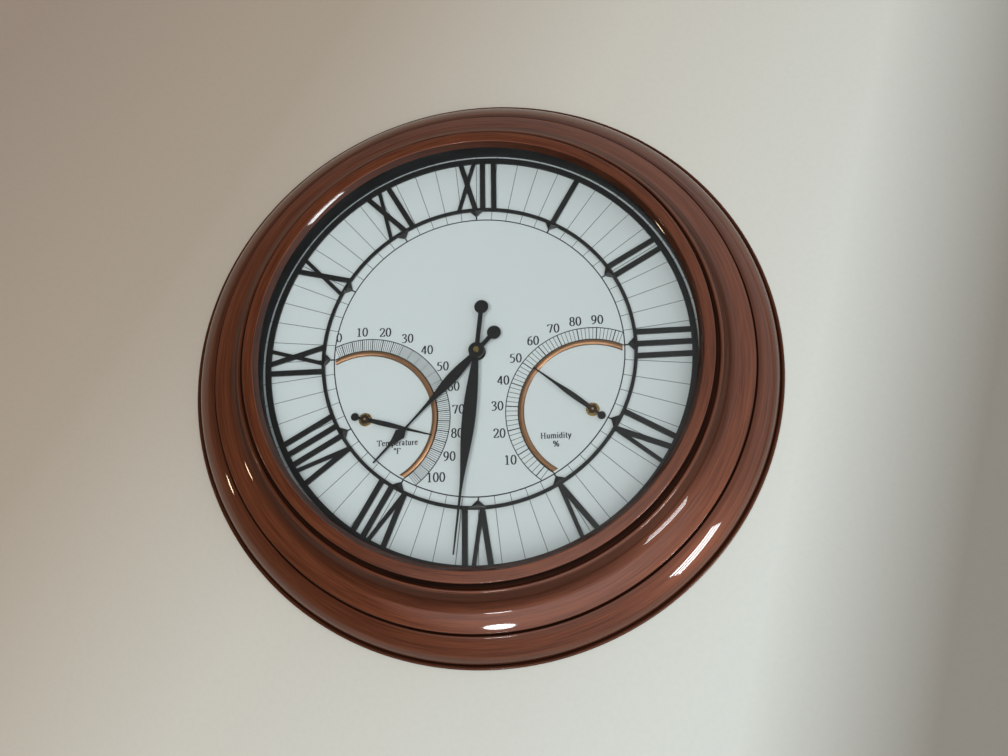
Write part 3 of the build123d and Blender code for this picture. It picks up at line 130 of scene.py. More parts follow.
# Letters in shares of their height: the advance, then rings (centre, half-axes), curves and lines
GLYPH_SHARES = {
    "0": (0.60, (("ring", (0.30, 0.50), (0.21, 0.48)),)),
    "1": (0.60, (
        ("line", (0.31, 0.02), (0.31, 0.97)),
        ("line", (0.14, 0.86), (0.31, 0.97)),
        ("line", (0.14, 0.02), (0.48, 0.02)),
    )),
    "2": (0.60, (
        ("curve", (0.08, 0.74), (0.15, 0.93), (0.30, 0.98), (0.46, 0.88),
         (0.47, 0.68), (0.32, 0.38), (0.07, 0.05)),
        ("line", (0.07, 0.05), (0.48, 0.05)),
        ("line", (0.48, 0.04), (0.53, 0.22)),
    )),
    "3": (0.60, (
        ("curve", (0.10, 0.80), (0.18, 0.95), (0.31, 0.98), (0.44, 0.86), (0.41, 0.66), (0.22, 0.53)),
        ("curve", (0.22, 0.53), (0.44, 0.45), (0.49, 0.25), (0.37, 0.05), (0.20, 0.01), (0.08, 0.07)),
    )),
    "4": (0.60, (
        ("line", (0.41, 0.97), (0.06, 0.29)),
        ("line", (0.06, 0.28), (0.55, 0.28)),
        ("line", (0.41, 0.02), (0.41, 0.97)),
    )),
    "5": (0.60, (
        ("line", (0.17, 0.94), (0.50, 0.96)),
        ("line", (0.17, 0.94), (0.11, 0.58)),
        ("curve", (0.11, 0.58), (0.27, 0.62), (0.44, 0.51), (0.48, 0.28),
         (0.36, 0.06), (0.20, 0.01), (0.08, 0.07)),
    )),
    "6": (0.60, (
        ("ring", (0.31, 0.30), (0.19, 0.29)),
        ("curve", (0.49, 0.98), (0.32, 0.90), (0.17, 0.70), (0.115, 0.38)),
    )),
    "7": (0.60, (
        ("line", (0.09, 0.93), (0.51, 0.93)),
        ("line", (0.09, 0.94), (0.06, 0.76)),
        ("line", (0.51, 0.94), (0.25, 0.01)),
    )),
    "8": (0.60, (
        ("ring", (0.30, 0.75), (0.17, 0.23)),
        ("ring", (0.30, 0.27), (0.20, 0.27)),
    )),
    "9": (0.60, (
        ("ring", (0.29, 0.69), (0.19, 0.29)),
        ("curve", (0.485, 0.62), (0.44, 0.32), (0.30, 0.11), (0.11, 0.02)),
    )),
    "T": (0.74, (
        ("line", (0.05, 0.95), (0.69, 0.95)),
        ("line", (0.06, 0.97), (0.05, 0.76)),
        ("line", (0.68, 0.97), (0.69, 0.76)),
        ("line", (0.37, 0.02), (0.37, 0.97)),
        ("line", (0.23, 0.02), (0.51, 0.02)),
    )),
    "F": (0.66, (
        ("line", (0.20, 0.02), (0.20, 0.97)),
        ("line", (0.07, 0.95), (0.60, 0.95)),
        ("line", (0.59, 0.97), (0.60, 0.74)),
        ("line", (0.20, 0.50), (0.46, 0.50)),
        ("line", (0.07, 0.02), (0.35, 0.02)),
    )),
    "H": (0.84, (
        ("line", (0.19, 0.02), (0.19, 0.97)),
        ("line", (0.65, 0.02), (0.65, 0.97)),
        ("line", (0.19, 0.50), (0.65, 0.50)),
        ("line", (0.06, 0.02), (0.32, 0.02)),
        ("line", (0.52, 0.02), (0.78, 0.02)),
        ("line", (0.06, 0.96), (0.32, 0.96)),
        ("line", (0.52, 0.96), (0.78, 0.96)),
    )),
    "a": (0.52, (
        ("curve", (0.10, 0.55), (0.21, 0.66), (0.35, 0.56), (0.36, 0.12), (0.48, 0.03)),
        ("curve", (0.36, 0.40), (0.18, 0.33), (0.10, 0.17), (0.19, 0.03), (0.36, 0.13)),
    )),
    "d": (0.58, (
        ("ring", (0.27, 0.33), (0.17, 0.32)),
        ("line", (0.43, 0.02), (0.43, 0.98)),
        ("line", (0.32, 0.97), (0.43, 0.97)),
        ("line", (0.43, 0.02), (0.54, 0.02)),
    )),
    "e": (0.52, (
        ("line", (0.11, 0.38), (0.43, 0.38)),
        ("curve", (0.43, 0.38), (0.37, 0.61), (0.25, 0.66), (0.12, 0.52),
         (0.11, 0.22), (0.25, 0.02), (0.44, 0.14)),
    )),
    "i": (0.32, (
        ("line", (0.16, 0.02), (0.16, 0.66)),
        ("line", (0.05, 0.02), (0.28, 0.02)),
        ("line", (0.05, 0.64), (0.16, 0.64)),
        ("line", (0.16, 0.84), (0.16, 0.99)),
    )),
    "m": (0.90, (
        ("line", (0.16, 0.02), (0.16, 0.66)),
        ("curve", (0.16, 0.52), (0.30, 0.66), (0.43, 0.58), (0.45, 0.30), (0.45, 0.02)),
        ("curve", (0.45, 0.52), (0.59, 0.66), (0.72, 0.58), (0.74, 0.30), (0.74, 0.02)),
        ("line", (0.05, 0.64), (0.16, 0.64)),
        ("line", (0.06, 0.02), (0.27, 0.02)),
        ("line", (0.36, 0.02), (0.55, 0.02)),
        ("line", (0.65, 0.02), (0.85, 0.02)),
    )),
    "p": (0.58, (
        ("line", (0.15, -0.28), (0.15, 0.66)),
        ("ring", (0.32, 0.33), (0.17, 0.32)),
        ("line", (0.04, 0.64), (0.15, 0.64)),
        ("line", (0.04, -0.28), (0.27, -0.28)),
    )),
    "r": (0.42, (
        ("line", (0.15, 0.02), (0.15, 0.66)),
        ("curve", (0.15, 0.48), (0.25, 0.63), (0.37, 0.60)),
        ("line", (0.04, 0.64), (0.15, 0.64)),
        ("line", (0.04, 0.02), (0.28, 0.02)),
    )),
    "t": (0.36, (
        ("curve", (0.17, 0.88), (0.17, 0.50), (0.17, 0.15), (0.24, 0.02), (0.34, 0.08)),
        ("line", (0.04, 0.63), (0.33, 0.63)),
    )),
    "u": (0.60, (
        ("curve", (0.15, 0.66), (0.15, 0.35), (0.17, 0.09), (0.28, 0.02), (0.44, 0.16)),
        ("line", (0.45, 0.02), (0.45, 0.66)),
        ("line", (0.04, 0.64), (0.15, 0.64)),
        ("line", (0.34, 0.64), (0.45, 0.64)),
        ("line", (0.45, 0.02), (0.56, 0.02)),
    )),
    "y": (0.54, (
        ("line", (0.08, 0.64), (0.28, 0.05)),
        ("curve", (0.47, 0.64), (0.29, 0.08), (0.20, -0.20), (0.07, -0.26)),
        ("line", (0.01, 0.64), (0.19, 0.64)),
        ("line", (0.37, 0.64), (0.54, 0.64)),
    )),
    "%": (0.94, (
        ("ring", (0.23, 0.73), (0.13, 0.23)),
        ("ring", (0.71, 0.25), (0.13, 0.23)),
        ("line", (0.74, 0.99), (0.20, -0.01)),
    )),
    "°": (0.34, (("ring", (0.17, 0.82), (0.10, 0.13)),)),
}


# Heights of the grain in the surfaces
DIAL_GRAIN = 0.000006
SMOOTH_GRAIN = 0.00001
PLAIN_GRAIN = 0.00002
ROUGH_GRAIN = 0.00003
FIBRE_GRAIN = 0.00006
WALL_GRAIN = 0.0003

# Black enamel of the numerals, hands and pointers
ENAMEL = (0.0100, 0.0095, 0.0090)
ENAMEL_DARK = (0.0060, 0.0058, 0.0056)


# Materials
class Look:
    """A material built around its Principled shader."""

    def __init__(self, name, **settings):
        self.material = bpy.data.materials.new(name)
        self.material.use_nodes = True
        self.tree = self.material.node_tree
        self.shader = self.tree.nodes["Principled BSDF"]
        for key, value in settings.items():
            self.feed(self.shader, key.replace("_", " ").title().replace("Ior", "IOR"), value)

    def feed(self, node, socket, value):
        """Sets a socket, or links it where the value is another node's output."""
        if isinstance(value, bpy.types.NodeSocket):
            self.tree.links.new(value, node.inputs[socket])
        elif isinstance(value, tuple) and len(value) == 3 and node.inputs[socket].type == "RGBA":
            node.inputs[socket].default_value = (*value, 1.0)
        else:
            node.inputs[socket].default_value = value

    def add(self, kind, inputs=None, **settings):
        node = self.tree.nodes.new("ShaderNode" + kind)
        for key, value in settings.items():
            setattr(node, key, value)
        for socket, value in (inputs or {}).items():
            self.feed(node, socket, value)
        return node

    def place(self):
        return self.add("TexCoord").outputs["Object"]

    def math(self, operation, first, second=0.0):
        return self.add("Math", {0: first, 1: second}, operation=operation).outputs[0]

    def noise(self, vector, scale, detail=2.0, roughness=0.5):
        inputs = {"Vector": vector, "Scale": scale, "Detail": detail, "Roughness": roughness}
        return self.add("TexNoise", inputs).outputs["Fac"]

    def span(self, value, low, high, to_low=0.0, to_high=1.0):
        """Maps a value from one range to another."""
        inputs = {"Value": value, "From Min": low, "From Max": high, "To Min": to_low, "To Max": to_high}
        return self.add("MapRange", inputs).outputs["Result"]

    def blend(self, factor, first, second):
        """Mixes two colours."""
        node = self.add("Mix", data_type="RGBA")
        self.feed(node, 0, factor)
        self.feed(node, 6, first)
        self.feed(node, 7, second)
        return node.outputs[2]

    def along(self, vector, axis):
        """How far a place lies along an axis."""
        return self.add("VectorMath", {0: vector, 1: axis}, operation="DOT_PRODUCT").outputs["Value"]

    def ramp(self, factor, tones):
        """Colours at places along a line, whose first and last place are the factor's zero and one."""
        node = self.add("ValToRGB", {0: factor})
        stops = node.color_ramp.elements
        while len(stops) < len(tones):
            stops.new(0.5)
        low, high = tones[0][0], tones[-1][0]
        for stop, (place, colour) in zip(stops, tones):
            stop.position = (place - low) / (high - low)
            stop.color = (*colour, 1.0)
        return node.outputs[0]

    def bump(self, height, strength, distance):
        node = self.add("Bump", {"Height": height, "Strength": strength, "Distance": distance})
        self.feed(self.shader, "Normal", node.outputs["Normal"])

    def along_ring(self, across, around, centre=(0.0, 0.0)):
        """Radius, profile depth and a vector that is fine across a turned ring and slow around it."""
        inputs = {0: self.place(), 1: (centre[0], 0.0, centre[1])}
        shifted = self.add("VectorMath", inputs, operation="SUBTRACT")
        axes = self.add("SeparateXYZ", {0: shifted.outputs[0]}).outputs
        flat = self.add("CombineXYZ", {0: axes[0], 2: axes[2]}).outputs[0]
        radius = self.add("VectorMath", {0: flat}, operation="LENGTH").outputs["Value"]
        turn = self.add("VectorMath", {0: flat}, operation="NORMALIZE").outputs["Vector"]
        turned = self.add("SeparateXYZ", {0: turn}).outputs
        depth = self.math("ADD", radius, axes[1])
        vector = self.add("CombineXYZ", {
            0: self.math("MULTIPLY", depth, across),
            1: self.math("MULTIPLY", turned[0], around),
            2: self.math("MULTIPLY", turned[2], around),
        }).outputs[0]
        return radius, depth, vector


def mottled(name, colour, shade, roughness, spread=0.06, scale=400.0, height=PLAIN_GRAIN, **settings):
    """Plain material with a fine grain in its colour, its roughness and its surface."""
    look = Look(name, **settings)
    grain = look.noise(look.place(), scale, 3.0, 0.55)
    look.feed(look.shader, "Base Color", look.blend(grain, shade, colour))
    low, high = roughness - spread, roughness + spread
    look.feed(look.shader, "Roughness", look.span(grain, 0.3, 0.7, low, high))
    look.bump(grain, 0.25, height)
    return look.material


# Where the frame's dark patina and painted shade lie: profile depths, a radius less its distance from the
# wall, and how dark each is. The gap between bead and bezel, the grooves and the flange's foot at the wall
# are painted shade; the neck, the cove and the roll carry patina together with painted shade.
PATINA_AND_SHADE = (
    (0.1130, 0.10),
    (0.1217, 0.10),
    (0.1227, 0.20),
    (0.1233, 1.00),
    (0.1321, 1.00),
    (0.1326, 0.20),
    (0.1350, 0.25),
    (0.1365, 0.60),
    (0.1480, 0.60),
    (0.1495, 0.80),
    (0.1512, 0.60),
    (0.1580, 0.40),
    (0.1625, 0.20),
    (0.1640, 0.05),
    (0.1800, 0.05),
    (0.1815, 0.25),
    (0.1823, 1.00),
    (0.1856, 1.00),
    (0.1864, 0.40),
    (0.1885, 0.45),
    (0.1930, 0.22),
    (0.2080, 0.18),
    (0.2190, 0.30),
    (0.2232, 1.00),
    (0.2244, 1.00),
    (0.2252, 0.50),
    (0.2270, 0.50),
    (0.2282, 0.90),
)
COPPER = (0.105, 0.0265, 0.0105)
COPPER_LIGHT = (0.222, 0.0625, 0.0255)
COPPER_DARK = (0.006, 0.0018, 0.0008)
# Painted shade on the bezel's inner lip, inside this radius, standing in for the dark that it reflects
LIP_RADIUS = 0.1657
LIP_FADE = 0.0003
LIP_PAINTED_SHADE = 0.75


def copper_lacquer():
    """Brushed copper under clear lacquer, with a dark patina and painted shade in its grooves, gap and
    hollows, and painted shade on the bezel's lip.
    """
    look = Look("copper_lacquer", metallic=0.45, coat_roughness=0.04, coat_ior=1.40)
    look.feed(look.shader, "Specular IOR Level", 0.08)
    look.feed(look.shader, "Anisotropic", 0.4)
    look.feed(look.shader, "Anisotropic Rotation", 0.25)
    tangent = look.add("Tangent", direction_type="RADIAL", axis="Y").outputs[0]
    look.feed(look.shader, "Tangent", tangent)
    radius, depth, hair = look.along_ring(1300.0, 7.0)
    streak = look.along_ring(260.0, 2.2)[2]
    fine = look.noise(hair, 1.0, 4.0, 0.6)
    broad = look.noise(streak, 1.0, 3.0, 0.5)
    tone = look.math("ADD", look.math("MULTIPLY", fine, 0.55), look.math("MULTIPLY", broad, 0.45))
    metal = look.blend(look.span(tone, 0.38, 0.62), COPPER, COPPER_LIGHT)
    low, high = PATINA_AND_SHADE[0][0], PATINA_AND_SHADE[-1][0]
    # Patina and painted shade together: the gap, grooves, neck, cove and roll are darkened where shadow and
    # dark reflections fall.
    dark = look.ramp(look.span(depth, low, high), [(place, (level, level, level)) for place, level in PATINA_AND_SHADE])
    look.feed(look.shader, "Coat Weight", look.span(dark, 0.25, 0.65, 1.0, 0.10))
    # Painted shade on the bezel's lip, added to the patina and painted shade above
    dark = look.math("MAXIMUM", dark, look.span(radius, LIP_RADIUS + LIP_FADE, LIP_RADIUS, 0.0, LIP_PAINTED_SHADE))
    patina_and_shade = look.math("MULTIPLY", dark, look.span(broad, 0.3, 0.7, 0.8, 1.0))
    look.feed(look.shader, "Base Color", look.blend(patina_and_shade, metal, COPPER_DARK))
    look.feed(look.shader, "Roughness", look.span(tone, 0.3, 0.7, 0.44, 0.58))
    look.bump(fine, 0.10, ROUGH_GRAIN)
    return look.material


GLASS_TINT = (0.97, 0.985, 0.98)


def clear_glass():
    """Glass that lets the lamps through to the dial."""
    look = Look("clear_glass", base_color=GLASS_TINT, roughness=0.0, ior=1.45, transmission_weight=1.0)
    passing = look.add("BsdfTransparent", {"Color": GLASS_TINT})
    path = look.add("LightPath").outputs
    open_ray = look.math("MAXIMUM", path["Is Shadow Ray"], path["Is Diffuse Ray"])
    mix = look.add("MixShader", {0: open_ray, 1: look.shader.outputs[0], 2: passing.outputs[0]})
    output = look.tree.nodes["Material Output"]
    look.tree.links.new(mix.outputs[0], output.inputs["Surface"])
    return look.material


def copper_trim(centre):
    """Copper strip of a scale band, drawn along its length, with painted shade on its edges where the round
    strip turns away.
    """
    look = Look("copper_trim", metallic=0.9)
    radius, depth, hair = look.along_ring(2200.0, 6.0, centre)
    grain = look.noise(hair, 1.0, 3.0, 0.5)
    copper = look.blend(grain, (0.34, 0.17, 0.085), (0.46, 0.25, 0.14))
    # Painted shade: the strip darkens towards both edges, where its round section turns away from the light.
    off = look.math("ABSOLUTE", look.math("SUBTRACT", radius, BAND_MIDDLE))
    edge_shade = look.span(off, BAND_SHADE_START, BAND_SHADE_END)
    look.feed(look.shader, "Base Color", look.blend(edge_shade, copper, (0.035, 0.014, 0.006)))
    look.feed(look.shader, "Roughness", look.span(grain, 0.3, 0.7, 0.34, 0.46))
    return look.material


def hubbed(name, centre):
    """Black enamel of a pointer, with a bronze cap on its hub."""
    look = Look(name)
    radius, depth, hair = look.along_ring(1500.0, 4.0, centre)
    grain = look.noise(look.place(), 700.0, 3.0, 0.55)
    turned = look.noise(hair, 1.0, 2.0, 0.5)
    cap = look.span(radius, HUB_CAP + HUB_CAP_EDGE, HUB_CAP)
    black = look.blend(grain, ENAMEL_DARK, ENAMEL)
    bronze = look.blend(turned, (0.085, 0.042, 0.014), (0.150, 0.080, 0.028))
    look.feed(look.shader, "Base Color", look.blend(cap, black, bronze))
    look.feed(look.shader, "Metallic", cap)
    look.feed(look.shader, "Roughness", look.span(grain, 0.3, 0.7, 0.32, 0.42))
    return look.material


def brushed(name, colour, shade, roughness):
    """Metal with a fine even grain."""
    return mottled(name, colour, shade, roughness, 0.08, 900.0, SMOOTH_GRAIN, metallic=1.0)


def fibre_board():
    """Dark hardboard with pressed fibres."""
    look = Look("dark_board")
    place = look.place()
    fibres = look.noise(place, 700.0, 4.0, 0.7)
    clouds = look.noise(place, 35.0, 2.0, 0.5)
    tone = look.math("ADD", look.math("MULTIPLY", fibres, 0.6), look.math("MULTIPLY", clouds, 0.4))
    brown = look.blend(look.span(tone, 0.3, 0.7), (0.020, 0.013, 0.010), (0.075, 0.050, 0.036))
    look.feed(look.shader, "Base Color", brown)
    look.feed(look.shader, "Roughness", look.span(fibres, 0.3, 0.7, 0.62, 0.82))
    look.bump(fibres, 0.35, FIBRE_GRAIN)
    return look.material


COPPER_LOOK = copper_lacquer()
GLASS_LOOK = clear_glass()
RUBBER_LOOK = mottled("black_rubber", (0.022, 0.022, 0.023), (0.012, 0.012, 0.012), 0.70)
SATIN_LOOK = mottled(
    "black_satin", (0.0030, 0.0036, 0.0042), (0.0020, 0.0024, 0.0028), 0.38, 0.05, specular_ior_level=0.25,
)
DIAL_LOOK = mottled(
    "white_dial", (0.735, 0.775, 0.780), (0.700, 0.742, 0.748), 0.50, 0.05, 900.0, DIAL_GRAIN,
)
ENAMEL_LOOK = mottled("black_enamel", ENAMEL, ENAMEL_DARK, 0.36, 0.06, 700.0, SMOOTH_GRAIN)
BRASS_LOOK = brushed("brass", (0.62, 0.44, 0.19), (0.42, 0.28, 0.11), 0.30)
ZINC_LOOK = brushed("zinc_steel", (0.62, 0.61, 0.57), (0.42, 0.42, 0.41), 0.38)
BOARD_LOOK = fibre_board()
MOVEMENT_LOOK = mottled(
    "movement_black", (0.020, 0.020, 0.021), (0.012, 0.012, 0.013), 0.45, 0.07, 1500.0, ROUGH_GRAIN,
)
GEAR_LOOK = mottled("gear_white", (0.74, 0.73, 0.68), (0.66, 0.65, 0.60), 0.42)
KNOB_LOOK = mottled("knob_grey", (0.24, 0.24, 0.25), (0.18, 0.18, 0.19), 0.45)
GREEN_LOOK = mottled("board_green", (0.035, 0.150, 0.070), (0.022, 0.105, 0.048), 0.35)
IRON_LOOK = brushed("motor_iron", (0.33, 0.33, 0.34), (0.22, 0.22, 0.23), 0.42)
WINDING_LOOK = brushed("winding_copper", (0.68, 0.30, 0.12), (0.45, 0.18, 0.07), 0.33)
STRIP_LOOK = brushed("coil_strip", (0.58, 0.50, 0.38), (0.42, 0.36, 0.27), 0.35)
CELL_LOOK = mottled("cell_jacket", (0.035, 0.035, 0.038), (0.024, 0.024, 0.026), 0.30, coat_weight=0.5)
BLACK_INK = mottled("black_ink", (0.014, 0.014, 0.016), (0.010, 0.010, 0.011), 0.60)
GREY_INK = mottled("grey_ink", (0.110, 0.118, 0.122), (0.085, 0.092, 0.096), 0.60)

NODE_LOOKS = {
    COPPER_LOOK: ("outer_frame", "front_bezel"),
    GLASS_LOOK: ("glass_lens",),
    RUBBER_LOOK: ("lens_gasket", "rubber_washer"),
    SATIN_LOOK: ("inner_wall_ring",),
    DIAL_LOOK: ("dial_plate",),
    ENAMEL_LOOK: (
        "numeral_ring", "numeral_ring_studs", "minute_hand", "hour_hand", "plate_washer", "bushing_nut",
    ),
    hubbed("thermometer_enamel", thermometer_at): ("thermometer_pointer",),
    hubbed("hygrometer_enamel", hygrometer_at): ("hygrometer_pointer",),
    copper_trim(thermometer_at): ("thermometer_band",),
    copper_trim(hygrometer_at): ("hygrometer_band",),
    BRASS_LOOK: (
        "minute_hand_nut", "centre_bushing", "minute_arbor", "thermometer_bush", "hygrometer_bush",
    ),
    ZINC_LOOK: (
        "bezel_screws", "dial_screws", "rear_cover_screws", "hanger_bracket", "hanger_rivets",
        "thermometer_arbor", "hygrometer_arbor", "plus_contact", "minus_contact", "quartz_crystal",
    ),
    BOARD_LOOK: ("rear_cover",),
    MOVEMENT_LOOK: (
        "movement_case", "movement_back_cover", "driver_chip", "thermometer_housing", "hygrometer_housing",
    ),
    GEAR_LOOK: (
        "minute_wheel", "hour_wheel", "centre_wheel", "third_wheel", "second_wheel", "intermediate_wheel",
        "rotor",
    ),
    KNOB_LOOK: ("setting_knob",),
    GREEN_LOOK: ("circuit_board",),
    IRON_LOOK: ("motor_stator",),
    WINDING_LOOK: ("stepper_coil",),
    STRIP_LOOK: ("thermometer_coil", "hygrometer_coil"),
    CELL_LOOK: ("battery_cell",),
}
for look, names in NODE_LOOKS.items():
    for name in names:
        nodes[name].data.materials.clear()
        nodes[name].data.materials.append(look)

# Softened edges of the hands, the pointers and the numerals
WELD = 0.000002
EDGE_ROUNDS = {
    "numeral_ring": 0.00055,
    "minute_hand": 0.00020,
    "hour_hand": 0.00020,
    "thermometer_pointer": 0.00015,
    "hygrometer_pointer": 0.00015,
}
for name, width in EDGE_ROUNDS.items():
    weld = nodes[name].modifiers.new("weld", "WELD")
    weld.merge_threshold = WELD
    bevel = nodes[name].modifiers.new("bevel", "BEVEL")
    bevel.width = width
    bevel.segments = 2
    bevel.limit_method = "ANGLE"
    bevel.harden_normals = True


# Lacquer coats turned about the hands' axis, which lie on the front of the frame and of the bezel
COAT = 0.0002
COAT_TURNS = 240
COAT_ARC_STEPS = 12
COAT_SHARP = math.radians(35.0)

# Each place is a radius, a distance from the wall and the rise of the arc that leads there
FRAME_LINE = (
    (0.2286, 0.0004, 0.0),
    (0.2286, 0.0010, 0.0),
    (0.2276, 0.0020, 0.00029),
    (0.2253, 0.0012, 0.0),
    (0.2200, 0.0120, 0.00106),
    (0.2073, 0.0210, 0.00066),
    (0.2068, 0.0205, 0.00015),
    (0.2060, 0.0190, 0.0),
    (0.2052, 0.0235, 0.0),
    (0.2047, 0.0240, 0.00015),
    (0.1923, 0.0292, 0.00025),
    (0.1847, 0.0352, -0.00044),
    (0.1803, 0.0444, 0.0),
    (0.1770, 0.0444, 0.0012),
    (0.1746, 0.0444, 0.0),
)
BEZEL_LINE = (
    (0.1740, 0.0460, 0.0),
    (0.1740, 0.0509, 0.0),
    (0.1733, 0.0516, 0.0002),
    (0.1665, 0.05236, 0.0),
    (0.1659, 0.0520, 0.00012),
    (0.1628, 0.0482, -0.00012),
)


def arc_points(start, end, rise):
    """Points of a shallow arc after its start."""
    chord = end - start
    if rise == 0.0:
        return [end]
    half = chord.length / 2
    way = chord.normalized()
    out = Vector((way.y, -way.x))
    sweep = 4 * math.atan(rise / half)
    radius = (half ** 2 + rise ** 2) / (2 * rise)
    found = []
    for step in range(1, COAT_ARC_STEPS + 1):
        turn = (step / COAT_ARC_STEPS - 0.5) * sweep
        lift = radius * math.cos(turn) - radius + rise
        found.append((start + end) / 2 + way * radius * math.sin(turn) + out * lift)
    return found


def on_clock(radius, turn, centre=(0.0, 0.0)):
    """Place at a radius and a clock angle in radians, as x and z."""
    return (centre[0] + radius * math.sin(turn), centre[1] + radius * math.cos(turn))


def coat(name, line):
    """Thin closed shell along a profile, outside and inside the face that it lies on."""
    points = [Vector(line[0][:2])]
    for *place, rise in line[1:]:
        points += arc_points(points[-1], Vector(place), rise)
    outs = []
    for index in range(len(points)):
        along = points[min(index + 1, len(points) - 1)] - points[max(index - 1, 0)]
        outs.append(Vector((along.y, -along.x)).normalized() * COAT)
    section = [point + out for point, out in zip(points, outs)]
    section += [point - out for point, out in reversed(list(zip(points, outs)))]
    places = []
    faces = []
    count = len(section)
    for turn in range(COAT_TURNS):
        angle = math.tau * turn / COAT_TURNS
        following = (turn + 1) % COAT_TURNS
        for index, (radius, front) in enumerate(section):
            x, z = on_clock(radius, angle)
            places.append((x, -front, z))
            after = (index + 1) % count
            here = turn * count
            there = following * count
            faces.append((here + index, there + index, there + after, here + after))
    mesh = bpy.data.meshes.new(name)
    mesh.from_pydata(places, [], faces)
    mesh.shade_smooth()
    mesh.set_sharp_from_angle(angle=COAT_SHARP)
    mesh.materials.append(COPPER_LOOK)
    piece = bpy.data.objects.new(name, mesh)
    bpy.context.scene.collection.objects.link(piece)
    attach(piece, "case")


coat("frame_lacquer", FRAME_LINE)
coat("bezel_lacquer", BEZEL_LINE)


# Printing: closed thin strips on the face of the dial
class Print:
    """Collects strips of one ink and makes them one piece."""

    def __init__(self):
        self.points = []
        self.faces = []

    def strip(self, left, right, closed=False):
        """Flat strip between two lines of points in the dial's plane."""
        first = len(self.points)
        for a, b in zip(left, right):
            for y in (dial_front, dial_front - INK_HEIGHT):
                self.points.append((a[0], y, a[1]))
                self.points.append((b[0], y, b[1]))
        count = len(left)
        for index in range(count if closed else count - 1):
            here = first + index * 4
            there = first + (index + 1) % count * 4
            for one, two in ((2, 3), (3, 1), (1, 0), (0, 2)):
                self.faces.append((here + one, here + two, there + two, there + one))
        if not closed:
            last = first + (count - 1) * 4
            self.faces.append((first, first + 1, first + 3, first + 2))
            self.faces.append((last + 2, last + 3, last + 1, last))

    def line(self, start, end, width):
        along = Vector(end) - Vector(start)
        side = Vector((-along.y, along.x)).normalized() * width / 2
        self.strip([Vector(start) + side, Vector(end) + side], [Vector(start) - side, Vector(end) - side])

    def arc(self, centre, radius, width, start, end):
        """Part of a ring between two clock angles in radians, or a whole ring."""
        closed = end - start >= math.tau - ARC_STEP / 2
        count = max(2, round((end - start) / ARC_STEP))
        turns = [start + (end - start) * index / count for index in range(count if closed else count + 1)]
        inner = [on_clock(radius - width / 2, turn, centre) for turn in turns]
        outer = [on_clock(radius + width / 2, turn, centre) for turn in turns]
        self.strip(outer, inner, closed)

    def piece(self, name, material):
        mesh = bpy.data.meshes.new(name)
        mesh.from_pydata(self.points, [], self.faces)
        mesh.validate()
        mesh.materials.append(material)
        piece = bpy.data.objects.new(name, mesh)
        bpy.context.scene.collection.objects.link(piece)
        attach(piece, "case")
        return piece


def smooth(points, steps):
    """Points on a smooth curve through the given ones."""
    line = [2 * points[0] - points[1], *points, 2 * points[-1] - points[-2]]
    found = [points[0]]
    for index in range(1, len(line) - 2):
        a, b, c, d = line[index - 1:index + 3]
        for step in range(1, steps + 1):
            t = step / steps
            bend = 2 * b + (c - a) * t + (2 * a - 5 * b + 4 * c - d) * t * t
            bend += (3 * b - a - 3 * c + d) * t ** 3
            found.append(bend / 2)
    return found


def pen_stroke(sheet, points, pen, closed):
    """Stroke of a broad pen: wide where it runs up or down and narrow where it runs level."""
    count = len(points)
    left, right = [], []
    for index, point in enumerate(points):
        before = points[index - 1] if closed or index else point
        after = points[(index + 1) % count] if closed or index < count - 1 else point
        along = (after - before).normalized()
        half = (pen[1] + (pen[0] - pen[1]) * abs(along.y)) / 2
        side = Vector((-along.y, along.x)) * half
        left.append(point + side)
        right.append(point - side)
    sheet.strip(left, right, closed)


def write(sheet, text, at, height, stretch, pen_shares):
    """Upright words centred at a place, standing on its level."""
    pen = [share * height for share in pen_shares]
    size = Vector((height * stretch, height))
    start = at[0] - sum(GLYPH_SHARES[sign][0] for sign in text) * size.x / 2
    for sign in text:
        advance, strokes = GLYPH_SHARES[sign]
        corner = Vector((start, at[1]))
        for kind, *shares in strokes:
            if kind == "ring":
                middle_share, half_shares = (Vector(share) for share in shares)
                turns = [math.tau * index / RING_STEPS for index in range(RING_STEPS)]
                ring = [
                    Vector((math.cos(turn) * half_shares.x, math.sin(turn) * half_shares.y)) for turn in turns
                ]
                pen_stroke(sheet, [corner + (middle_share + offset) * size for offset in ring], pen, True)
            else:
                points = [corner + Vector(share) * size for share in shares]
                if kind == "curve":
                    points = smooth(points, CURVE_STEPS)
                pen_stroke(sheet, points, pen, False)
        start += advance * size.x


def dial_lines():
    """Minute lines out to the edge of the dial, the inner circle and a short line at each hour."""
    minutes = Print()
    for index in range(MINUTE_COUNT):
        turn = math.tau * index / MINUTE_COUNT
        minutes.line(on_clock(CIRCLE_RADIUS, turn), on_clock(MINUTE_END, turn), MINUTE_WIDTH)
    minutes.piece("printed_minute_lines", GREY_INK)
    circle = Print()
    circle.arc((0.0, 0.0), CIRCLE_RADIUS, CIRCLE_WIDTH, 0.0, math.tau)
    circle.piece("printed_circle", BLACK_INK)
    hours = Print()
    for index in range(HOUR_COUNT):
        turn = math.tau * index / HOUR_COUNT
        hours.line(on_clock(CIRCLE_RADIUS, turn), on_clock(HOUR_END, turn), HOUR_WIDTH)
    hours.piece("printed_hour_lines", BLACK_INK)


def reach(centre, turn):
    """How far a line from an instrument's axis runs before it meets the printed circle."""
    way = Vector((math.sin(turn), math.cos(turn)))
    start = Vector(centre)
    along = start.dot(way)
    return -along + math.sqrt(along * along - start.length_squared + CIRCLE_RADIUS ** 2)


def opening(centre, radius):
    """Half angle of the arc about an instrument's axis that lies inside the printed circle."""
    distance = Vector(centre).length
    return math.acos((distance ** 2 + radius ** 2 - CIRCLE_RADIUS ** 2) / (2 * distance * radius))


def turn_of(reading, degrees):
    """Clock angle of a reading in radians."""
    return math.radians(degrees[0] + degrees[1] * reading + degrees[2] * reading ** 2)


